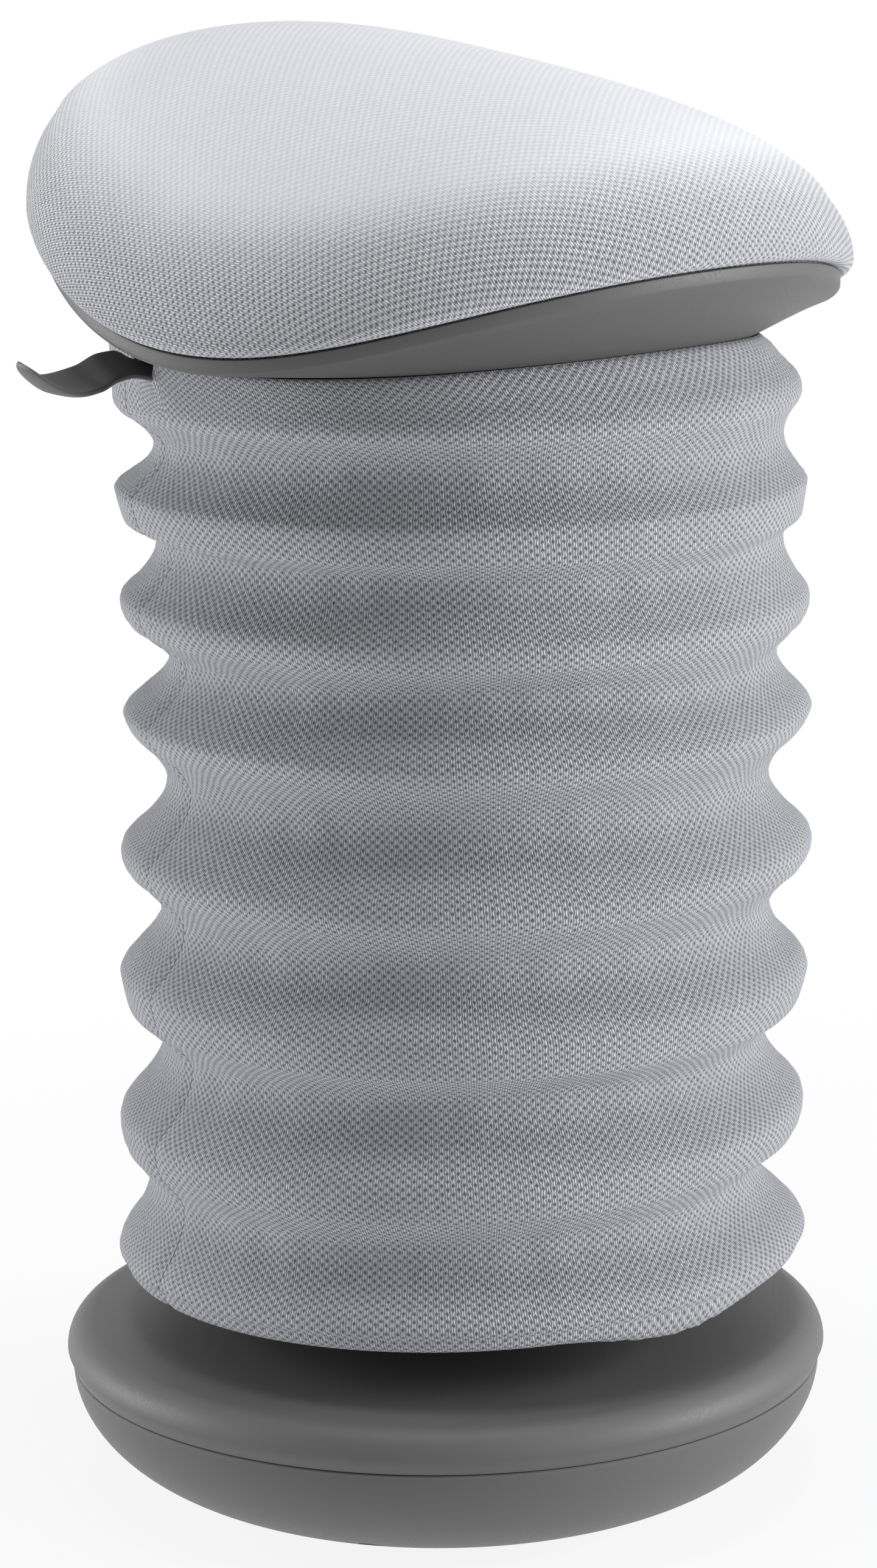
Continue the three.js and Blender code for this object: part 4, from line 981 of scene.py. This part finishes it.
def bowl_curve(outer, floor, steps):
    """Outline of the bowl from its foot to its parting line."""
    turns = np.linspace(0, math.pi / 2, steps)
    radii = FOOT_RADIUS + (outer - FOOT_RADIUS) * np.sin(turns) ** BOWL_SQUARENESS
    return list(zip(radii, floor + (SEAM_HEIGHT - floor) * (1 - np.cos(turns))))


def edge_arc(radius, steps):
    """Outline of the cover's round edge, or of its inner face."""
    return [(BASE_RADIUS - EDGE_RADIUS + radius * math.cos(t), WIDEST + radius * math.sin(t))
            for t in np.linspace(0, math.radians(86), steps)]


tongue_in = SEAM_RADIUS - BOWL_WALL
tongue_out = tongue_in + TONGUE_WALL
bowl_inside = BOWL_FLOOR + BOWL_WALL
bowl_profile = (
    [(CENTRE_HOLE, BOWL_FLOOR), (SOLE_RADIUS, BOWL_FLOOR), (SOLE_RADIUS, FOOT_HEIGHT + 0.3)]
    + [(SOLE_RADIUS + 0.3, FOOT_HEIGHT)] + bowl_curve(SEAM_RADIUS, FOOT_HEIGHT, 30)[:-1]
    + [(SEAM_RADIUS, SEAM_HEIGHT - 0.5), (SEAM_RADIUS - 0.5, SEAM_HEIGHT), (tongue_out, SEAM_HEIGHT)]
    + [(tongue_out, SEAM_HEIGHT + TONGUE_RISE), (tongue_in, SEAM_HEIGHT + TONGUE_RISE)]
    + bowl_curve(tongue_in, bowl_inside, 16)[::-1] + [(CENTRE_HOLE, bowl_inside)])
base_bowl = turned("base_bowl_moulding", bowl_profile, FOOT_COLUMNS, foot_plastic)
skirt = tongue_out + GAP
under_cover = COVER_TOP - COVER_WALL
cover_profile = (
    [(skirt, SEAM_HEIGHT + GAP), (SEAM_RADIUS - 0.6, SEAM_HEIGHT + GAP)]
    + [(SEAM_RADIUS, SEAM_HEIGHT + 0.9)]
    + edge_arc(EDGE_RADIUS, 16) + COVER_SLOPE + COLLAR
    + [(COLLAR_IN, under_cover), (COLLAR_OUT, under_cover)]
    + edge_arc(EDGE_RADIUS - COVER_WALL, 8)[::-1] + [(skirt, SEAM_HEIGHT + TONGUE_RISE + 0.6)])
base_cover = turned("base_cover_moulding", cover_profile, FOOT_COLUMNS, foot_plastic)
print("bowl faces:", len(base_bowl.data.polygons), "cover faces:", len(base_cover.data.polygons))

# %% [markdown]
# ## Release lever
#
# The lever is one moulding: a flat arm over the valve, a strap that passes out under the shell and
# twists, and a cupped paddle for the fingers. Smooth curves through a few measured stations give
# its width, rise, twist and cup, and each station is a thin section with rounded edges.

# %% Release lever
LEVER_REACH = 208
LEVER_RISE = 14.8
LEVER_HALF = 21
LEVER_AXIS = 527.6
LEVER_THICK = 3
ARM_THICK = 4
ARM_END = 0.25
CUP_DEPTH = 3
EDGE_BLUNTNESS = 0.75
FACE_FLATNESS = 0.4
# Reach, rise, half width, twist in degrees and cup, as shares
LEVER_STATIONS = np.array([
    (-0.033, 0.0, 0.381, 0, 0.0), (0.238, 0.0, 0.381, 0, 0.0), (0.286, 0.03, 0.38, 0, 0.0),
    (0.357, 0.07, 0.43, 0, 0.0), (0.476, 0.16, 0.45, 3, 0.0), (0.595, 0.29, 0.46, 8, 0.0),
    (0.667, 0.42, 0.45, 12, 0.05), (0.72, 0.6, 0.44, 20, 0.12), (0.76, 0.78, 0.45, 26, 0.2),
    (0.795, 0.72, 0.52, 23, 0.4), (0.843, 0.44, 0.66, 15, 0.75), (0.895, 0.33, 0.78, 9, 1.0),
    (0.943, 0.45, 0.74, 5, 1.0), (0.972, 0.68, 0.58, 3, 0.7), (0.991, 0.9, 0.36, 2, 0.3),
    (1.0, 1.0, 0.12, 2, 0.0)])


def lever_section(reach, rise, half_width, twist, cup, thick):
    """A thin section with round edges across the lever."""
    turns = around(40)
    across = np.sign(np.cos(turns)) * np.abs(np.cos(turns)) ** EDGE_BLUNTNESS
    up = np.sign(np.sin(turns)) * np.abs(np.sin(turns)) ** FACE_FLATNESS * thick / 2
    side = across * half_width
    height = LEVER_AXIS + rise + up - side * math.tan(twist) + cup * (across ** 2 - 1)
    return np.stack([reach * math.cos(LEVER_TURN) - side * math.sin(LEVER_TURN),
                     reach * math.sin(LEVER_TURN) + side * math.cos(LEVER_TURN), height], -1)


lever_rings = []
lever_reaches = np.concatenate([np.linspace(LEVER_STATIONS[0, 0], 0.7, 22), np.linspace(0.71, 1, 44)])
for reach, rise, width, twist, cup in through_stations(LEVER_STATIONS, lever_reaches):
    lever_rings.append(lever_section(
        reach * LEVER_REACH, rise * LEVER_RISE, width * LEVER_HALF, math.radians(twist),
        cup * CUP_DEPTH, ARM_THICK if reach < ARM_END else LEVER_THICK))
lever = skin("release_lever_moulding", np.array(lever_rings), "points", lever_plastic)
print("lever faces:", len(lever.data.polygons))

# %% [markdown]
# ## Finishes of the hidden parts
#
# Inside are the parts of a gas column and its fixings: powder-coated steel, zinc-plated steel, hard
# chrome, cast iron, acetal, rubber and birch plywood. Each finish is a colour mixed by a pattern at
# its real scale, with the same pattern in the roughness and the bump. What differs between them is
# a short row of values, so one function makes them all.

# %% Patterned finishes
def patterned(name, low, high, grain, rough, bump, values={}, stretch=(1, 1, 1)):
    """A finish whose colour, roughness and bump follow one noise; grain and bump are in millimetres."""
    material, tree, shader = finish_named(name, values)
    place = add(tree, "ShaderNodeTexCoord").outputs["Object"]
    drawn = add(tree, "ShaderNodeMapping", {"Vector": place, "Scale": stretch})
    noise = add(tree, "ShaderNodeTexNoise", {
        "Vector": drawn, "Scale": 1 / (grain * MM), "Detail": 3.0}).outputs[0]
    sharper = add(tree, "ShaderNodeMapRange", {"Value": noise, "From Min": 0.35, "From Max": 0.65})
    toned = add(tree, "ShaderNodeMix", {
        "Factor": sharper, 6: linear(low), 7: linear(high)}, data_type="RGBA")
    feed(tree, shader, {
        "Base Color": toned.outputs[2],
        "Roughness": add(tree, "ShaderNodeMapRange", {
            "Value": sharper, "To Min": rough[0], "To Max": rough[1]}),
        "Normal": add(tree, "ShaderNodeBump", {
            "Height": noise, "Strength": 0.5, "Distance": bump * MM})})
    return material


METAL = {"Metallic": 1.0}
finishes = {
    # Rubber: soft black with dusty mottling from the mould
    "sole_rubber": patterned("moulded nitrile rubber", "242424", "303030", 2.5, (0.75, 0.9), 0.15),
    # Cast iron: sand-cast skin with 1.5 mm grain under a dull black wash
    "ballast_iron": patterned("sand-cast iron", "2E2D2C", "484644", 1.5, (0.6, 0.85), 0.5,
                              {"Metallic": 0.6}),
    # Powder coat: satin black with the orange peel of a 1.2 mm wave
    "black_steel": patterned("powder-coated steel", "1C1C1D", "262627", 1.2, (0.38, 0.48), 0.06,
                             {"Coat Weight": 0.15, "Coat Roughness": 0.25}),
    # Bright zinc: bluish white metal with faint cloudy spangle
    "zinc_steel": patterned("zinc-plated steel", "A4A8AE", "C4C8CD", 3.0, (0.24, 0.4), 0.03, METAL),
    # Hard chrome: nearly a mirror, ground round the rod, so its lines run across the length
    "rod_chrome": patterned("hard chrome on ground steel", "CDD0D4", "DCDFE2", 0.9, (0.06, 0.12), 0.01,
                            METAL, (1, 1, 8)),
    # Acetal: milky white and slightly waxy, with turning marks
    "white_acetal": patterned("turned acetal", "DFDED8", "EAE9E4", 0.8, (0.35, 0.5), 0.03,
                              {"Subsurface Weight": 0.15}, (1, 1, 6)),
    # Bumper: open-pored polyurethane rubber
    "bumper_rubber": patterned("cellular polyurethane", "2A2927", "3B3936", 0.9, (0.8, 0.95), 0.3),
    # Spring wire: drawn steel with a dark phosphate skin and fine lines
    "spring_wire": patterned("drawn spring wire", "6E7073", "8F9296", 0.5, (0.35, 0.55), 0.02, METAL),
}
print("finishes:", sorted(finishes))

# %% [markdown]
# ## Birch plywood
#
# The board under the foam is nine millimetres of birch plywood. Its faces show a pale, lengthwise
# grain and its edge shows the plies, light and dark by turns, 1.3 mm thick.

# %% Birch plywood
PLY = 1.3 * MM
GRAIN_LENGTH = 30 * MM
GRAIN_WAYS = (1, 12, 1)
board_finish, board_tree, board_shader = finish_named("birch plywood", {"Roughness": 0.65})
board_place = add(board_tree, "ShaderNodeTexCoord").outputs["Object"]
board_grain = add(board_tree, "ShaderNodeTexNoise", {
    "Vector": add(board_tree, "ShaderNodeMapping", {"Vector": board_place, "Scale": GRAIN_WAYS}),
    "Scale": 1 / GRAIN_LENGTH, "Detail": 6.0})
board_height = add(board_tree, "ShaderNodeSeparateXYZ", {0: board_place}).outputs["Z"]
board_plies = add(board_tree, "ShaderNodeMath", {
    0: add(board_tree, "ShaderNodeMath", {0: board_height, 1: math.pi / PLY}, operation="MULTIPLY")},
    operation="SINE")
board_band = add(board_tree, "ShaderNodeMapRange", {
    "Value": board_plies, "From Min": -0.3, "From Max": 0.3})
board_face = add(board_tree, "ShaderNodeMix", {
    "Factor": board_grain.outputs[0], 6: linear("E3C797"), 7: linear("C9A56C")}, data_type="RGBA")
board_tone = add(board_tree, "ShaderNodeMix", {
    "Factor": board_band, 6: board_face.outputs[2], 7: linear("A87C48")}, data_type="RGBA")
feed(board_tree, board_shader, {"Base Color": board_tone.outputs[2]})
finishes["plywood"] = board_finish
finishes["dark_plastic"] = shell_plastic
print("plies every", PLY / MM, "mm")

# %% [markdown]
# ## Dressing the CAD nodes
#
# The CAD nodes that stay get their finish through their material slots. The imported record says
# which slot each node has.

# %% CAD nodes' finishes
slot_of = {entry["node"]: entry["material_slot"] for entry in frame["record"]["subparts"]}
dressed = 0
for name, node in frame["nodes"].items():
    finish = finishes.get(slot_of.get(name))
    if finish:
        node.data.materials.clear()
        node.data.materials.append(finish)
        dressed += 1
print("dressed:", dressed, "slots:", sorted(set(slot_of.values())))

# %% [markdown]
# ## Pieces grown by nodes
#
# Stitches, hoops and screws repeat one shape along a path or round a circle. Geometry Nodes suits
# that: a tree takes a path and a few named measures, and the finish, and ends in plain mesh. The
# tree is run once and its result kept as an ordinary mesh.

# %% Node growth helper
CRISP_ANGLE = math.radians(35)


def growing_tree(name, sockets):
    """A Geometry Nodes tree with these named inputs, and the node that gives them."""
    tree = bpy.data.node_groups.new(name, "GeometryNodeTree")
    for label, kind in sockets.items():
        tree.interface.new_socket(name=label, in_out="INPUT", socket_type="NodeSocket" + kind)
    tree.interface.new_socket(name="Geometry", in_out="OUTPUT", socket_type="NodeSocketGeometry")
    return tree, tree.nodes.new("NodeGroupInput").outputs


def end_tree(tree, shape, finish):
    """The tree's last nodes: real mesh, smooth, in its finish."""
    real = add(tree, "GeometryNodeRealizeInstances", {"Geometry": shape})
    smooth = add(tree, "GeometryNodeSetShadeSmooth", {"Geometry": real})
    dressed = add(tree, "GeometryNodeSetMaterial", {"Geometry": smooth, "Material": finish})
    tree.links.new(dressed.outputs[0], tree.nodes.new("NodeGroupOutput").inputs[0])


def made_plain(piece):
    """This piece with its modifiers' result as its own mesh."""
    result = piece.evaluated_get(bpy.context.evaluated_depsgraph_get())
    piece.data = bpy.data.meshes.new_from_object(result)
    piece.modifiers.clear()
    return piece


def grown(name, tree, values, path=None):
    """A plain mesh object made by the tree with its inputs set to these values."""
    piece = bpy.data.objects.new(name, path or bpy.data.meshes.new(name))
    scene.collection.objects.link(piece)
    nodes = piece.modifiers.new(tree.name, "NODES")
    nodes.node_group = tree
    for socket in tree.interface.items_tree:
        if socket.name in values:
            nodes[socket.identifier] = values[socket.name]
    return made_plain(piece)


def carved(piece, tool, operation):
    """This piece after a Boolean with the tool, which is used up; sharp edges stay crisp."""
    cut = piece.modifiers.new("carve", "BOOLEAN")
    cut.object = tool
    cut.operation = operation
    cut.solver = "EXACT"
    made_plain(piece).data.shade_smooth()
    piece.data.set_sharp_from_angle(angle=CRISP_ANGLE)
    bpy.data.objects.remove(tool)
    return piece

# %% [markdown]
# ## Seam stitches
#
# The sleeve's two edges are sewn together with a lockstitch of dull grey thread, about three
# stitches to the centimetre. Each stitch is a small grain of thread that lies in the groove of the
# seam. The seam is a path down the folds; the nodes space the stitches evenly along it, however it
# bends.

# %% Seam stitches
STITCH_STEP = 3.4
STITCH_LENGTH = 2.3
THREAD_WIDTH = 0.6
THREAD_LIFT = 0.1
thread_finish = patterned("bonded polyester thread", "6E7076", "9C9EA5", 0.4, (0.5, 0.7), 0.05)
stitch_tree, given = growing_tree("stitches along a path", {
    "Path": "Geometry", "Step": "Float", "Length": "Float", "Width": "Float", "Finish": "Material"})
even_path = add(stitch_tree, "GeometryNodeResampleCurve", {
    "Curve": add(stitch_tree, "GeometryNodeMeshToCurve", {"Mesh": given["Path"]}),
    "Length": given["Step"]}, mode="LENGTH")
whole_size = add(stitch_tree, "ShaderNodeCombineXYZ", {
    0: given["Width"], 1: given["Width"], 2: given["Length"]})
half_size = add(stitch_tree, "ShaderNodeVectorMath", {0: whole_size, "Scale": 0.5}, operation="SCALE")
round_grain = add(stitch_tree, "GeometryNodeMeshUVSphere", {"Segments": 8, "Rings": 6, "Radius": 1.0})
grain = add(stitch_tree, "GeometryNodeTransform", {"Geometry": round_grain, "Scale": half_size})
sewn = add(stitch_tree, "GeometryNodeInstanceOnPoints", {
    "Points": even_path, "Instance": grain,
    "Rotation": add(stitch_tree, "FunctionNodeAlignRotationToVector", {
        "Vector": add(stitch_tree, "GeometryNodeInputTangent")}, axis="Z")})
end_tree(stitch_tree, sewn, given["Finish"])

seam_line = outer_rings[3:-8, 0] + outward[3:-8, 0] * THREAD_LIFT
seam_path = bpy.data.meshes.new("seam_path")
seam_path.from_pydata((seam_line * MM).tolist(), [(i, i + 1) for i in range(len(seam_line) - 1)], [])
seam_stitches = grown("sleeve_seam_stitches", stitch_tree, {
    "Step": STITCH_STEP * MM, "Length": STITCH_LENGTH * MM, "Width": THREAD_WIDTH * MM,
    "Finish": thread_finish}, seam_path)
print("stitch faces:", len(seam_stitches.data.polygons))

# %% [markdown]
# ## Wire hoops
#
# Each hoop is a ring of spring wire, 4 mm thick, inside a ridge of the sleeve. It could be a torus,
# but the hoops hang off the axis and tilt, so a circle is moved and tilted first and a small round
# section is then swept along it. Each hoop's own inset leaves it room in its ridge when the folds
# close up.

# %% Wire hoops
HOOP_INSETS = [7.5, 9.8, 8.4, 10.2, 9.2, 8.6, 8.2, 8.7]
WIRE_RADIUS = 2
hoop_tree, given = growing_tree("wire hoop", {
    "Radius": "Float", "Wire": "Float", "Centre": "Vector", "Tilt": "Rotation", "Finish": "Material"})
hoop_line = add(hoop_tree, "GeometryNodeTransform", {
    "Geometry": add(hoop_tree, "GeometryNodeCurvePrimitiveCircle", {
        "Resolution": 128, "Radius": given["Radius"]}),
    "Translation": given["Centre"], "Rotation": given["Tilt"]})
hoop_section = add(hoop_tree, "GeometryNodeCurvePrimitiveCircle", {
    "Resolution": 12, "Radius": given["Wire"]})
hoop_tube = add(hoop_tree, "GeometryNodeCurveToMesh", {
    "Curve": hoop_line, "Profile Curve": hoop_section})
end_tree(hoop_tree, hoop_tube, given["Finish"])
hoops = {}
for i in range(8):
    lean = HOOP_TILTS[i] / 2 / HOOP_RADII[i]
    hoops[f"hoop_{i + 1}"] = grown(f"hoop_{i + 1}_wire", hoop_tree, {
        "Radius": (HOOP_RADII[i] - HOOP_INSETS[i]) * MM, "Wire": WIRE_RADIUS * MM,
        "Centre": (HOOP_HANGS[i] * HANG_WAY[0] * MM, HOOP_HANGS[i] * HANG_WAY[1] * MM,
                   HOOP_HEIGHTS[i] * MM),
        "Tilt": (lean * HANG_WAY[1], -lean * HANG_WAY[0], 0.0),
        "Finish": finishes["spring_wire"]})
print("hoops:", len(hoops), "faces each:", len(hoops["hoop_1"].data.polygons))

# %% [markdown]
# ## Screws and their wells
#
# Six pan head screws hold the foot together from underneath. Their heads sit deep in round wells of
# the bowl, each with a boss inside. The head and shank are turned and the cross recess is cut with
# a Boolean; the nodes then set the screw round a circle, each turned by its own angle, as a hand
# leaves them. The wells are cut from the bowl the same way, because a round pocket in a curved wall
# is awkward to make from rings.

# %% Screws and wells
SCREW_CIRCLE = 140
SCREW_COUNT = 6
HEAD_FROM = 16.7
HEAD_TO = 19.7
SCREW_END = 49.7
WELL_RADIUS = 5.6
WELL_TOP = 20
BOSS_RADIUS = 8.6
BOSS_TOP = 23
BORE_RADIUS = 2.5
RECESS_HALF = 0.21
RECESS_REACH = 2.3
RECESS_DEPTH = 1.7
HAND_TURN = 1.5
HAND_SEED = 4


def six(radius, low, high):
    """Six cylinders in one mesh, round the screws' circle, to carve with."""
    work = bmesh.new()
    for place in around(SCREW_COUNT):
        centre = (SCREW_CIRCLE * math.sin(place), -SCREW_CIRCLE * math.cos(place))
        rims = np.array([ring(radius, around(32), z, centre) for z in (low, high)])
        single = skin("rod", rims, "points")
        work.from_mesh(single.data)
        bpy.data.objects.remove(single)
    joined = bpy.data.meshes.new("six_rods")
    work.to_mesh(joined)
    work.free()
    made = bpy.data.objects.new("six_rods", joined)
    scene.collection.objects.link(made)
    return made


screw_rings = np.array([ring(r, around(12), z) for r, z in [
    (1.6, HEAD_FROM), (3.5, HEAD_FROM + 0.35), (4.6, HEAD_FROM + 1.4), (4.6, HEAD_TO), (2.2, HEAD_TO),
    (2.2, SCREW_END - 1), (1, SCREW_END)]])
screw = skin("screw", screw_rings, "points")
for turn in (0, math.pi / 2):
    corners = turn + np.array([-RECESS_HALF, RECESS_HALF, math.pi - RECESS_HALF, math.pi + RECESS_HALF])
    blade = skin("blade", np.array([
        ring(RECESS_REACH, corners, z) for z in (HEAD_FROM - 1, HEAD_FROM + RECESS_DEPTH)]), "points")
    screw = carved(screw, blade, "DIFFERENCE")

screw_tree, given = growing_tree("screws round a circle", {
    "Screw": "Object", "Count": "Int", "Circle": "Float", "First": "Rotation", "Finish": "Material"})
screw_circle = add(screw_tree, "GeometryNodeMeshCircle", {
    "Vertices": given["Count"], "Radius": given["Circle"]})
screw_places = add(screw_tree, "GeometryNodeTransform", {
    "Geometry": screw_circle, "Rotation": given["First"]})
hand_turn = add(screw_tree, "FunctionNodeRandomValue", {
    "Max": HAND_TURN, "Seed": HAND_SEED}, data_type="FLOAT")
one_screw = add(screw_tree, "GeometryNodeObjectInfo", {"Object": given["Screw"]})
tightened = add(screw_tree, "GeometryNodeInstanceOnPoints", {
    "Points": screw_places, "Instance": one_screw.outputs["Geometry"],
    "Rotation": add(screw_tree, "ShaderNodeCombineXYZ", {"Z": hand_turn.outputs["Value"]})})
end_tree(screw_tree, tightened, given["Finish"])
base_screws = grown("base_screws_cross_recess", screw_tree, {
    "Screw": screw, "Count": SCREW_COUNT, "Circle": SCREW_CIRCLE * MM, "First": (0.0, 0.0, math.pi / 6),
    "Finish": finishes["zinc_steel"]})
base_screws.data.set_sharp_from_angle(angle=CRISP_ANGLE)
bpy.data.objects.remove(screw)

bowl_fill = turned("bowl_fill", [(CENTRE_HOLE, 3)] + bowl_curve(
    SEAM_RADIUS - 1, FOOT_HEIGHT + 1, 24) + [(CENTRE_HOLE, SEAM_HEIGHT)], 96)
bosses = carved(six(BOSS_RADIUS, 0, BOSS_TOP), bowl_fill, "INTERSECT")
base_bowl = carved(base_bowl, bosses, "UNION")
base_bowl = carved(base_bowl, six(WELL_RADIUS, -5, WELL_TOP), "DIFFERENCE")
base_bowl = carved(base_bowl, six(BORE_RADIUS, WELL_TOP - 1, BOSS_TOP + 1), "DIFFERENCE")
for piece in (base_cover, seat_shell):
    piece.data.set_sharp_from_angle(angle=CRISP_ANGLE)
print("bowl faces with wells:", len(base_bowl.data.polygons))
print("screw faces:", len(base_screws.data.polygons))

# %% [markdown]
# ## Bodies, soft pieces and the end
#
# Each piece below rides on the CAD body that it belongs to, and the CAD nodes that it replaces are
# hidden. The real sleeve is held by the seat at its top and turns with it above the foot, as bellows
# do; here the sleeve and its stitches keep their place baked into their meshes and ride on no body.
# Each hoop rides on its own body.

# %% Rides and replacements
MATES = {
    seat_cover: ("seat", "seat_knit", ["seat_cover"]),
    seat_pad: ("seat", "seat_foam", ["seat_foam"]),
    seat_shell: ("seat", "dark_plastic", ["seat_shell"]),
    base_bowl: ("base", "dark_plastic", ["base_bowl"]),
    base_cover: ("base", "dark_plastic", ["base_cover"]),
    lever: ("lever", "dark_plastic", ["release_lever"]),
    base_screws: ("base", "zinc_steel", [f"base_screw_{k + 1}" for k in range(SCREW_COUNT)]),
}
MATES.update({wire: (name, "spring_wire", [name]) for name, wire in hoops.items()})
for piece, (body, finish_slot, nodes) in MATES.items():
    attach(piece, body)
    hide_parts(*nodes)
for piece in (sleeve, seam_stitches):
    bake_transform(piece)
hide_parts("bellows_cover")
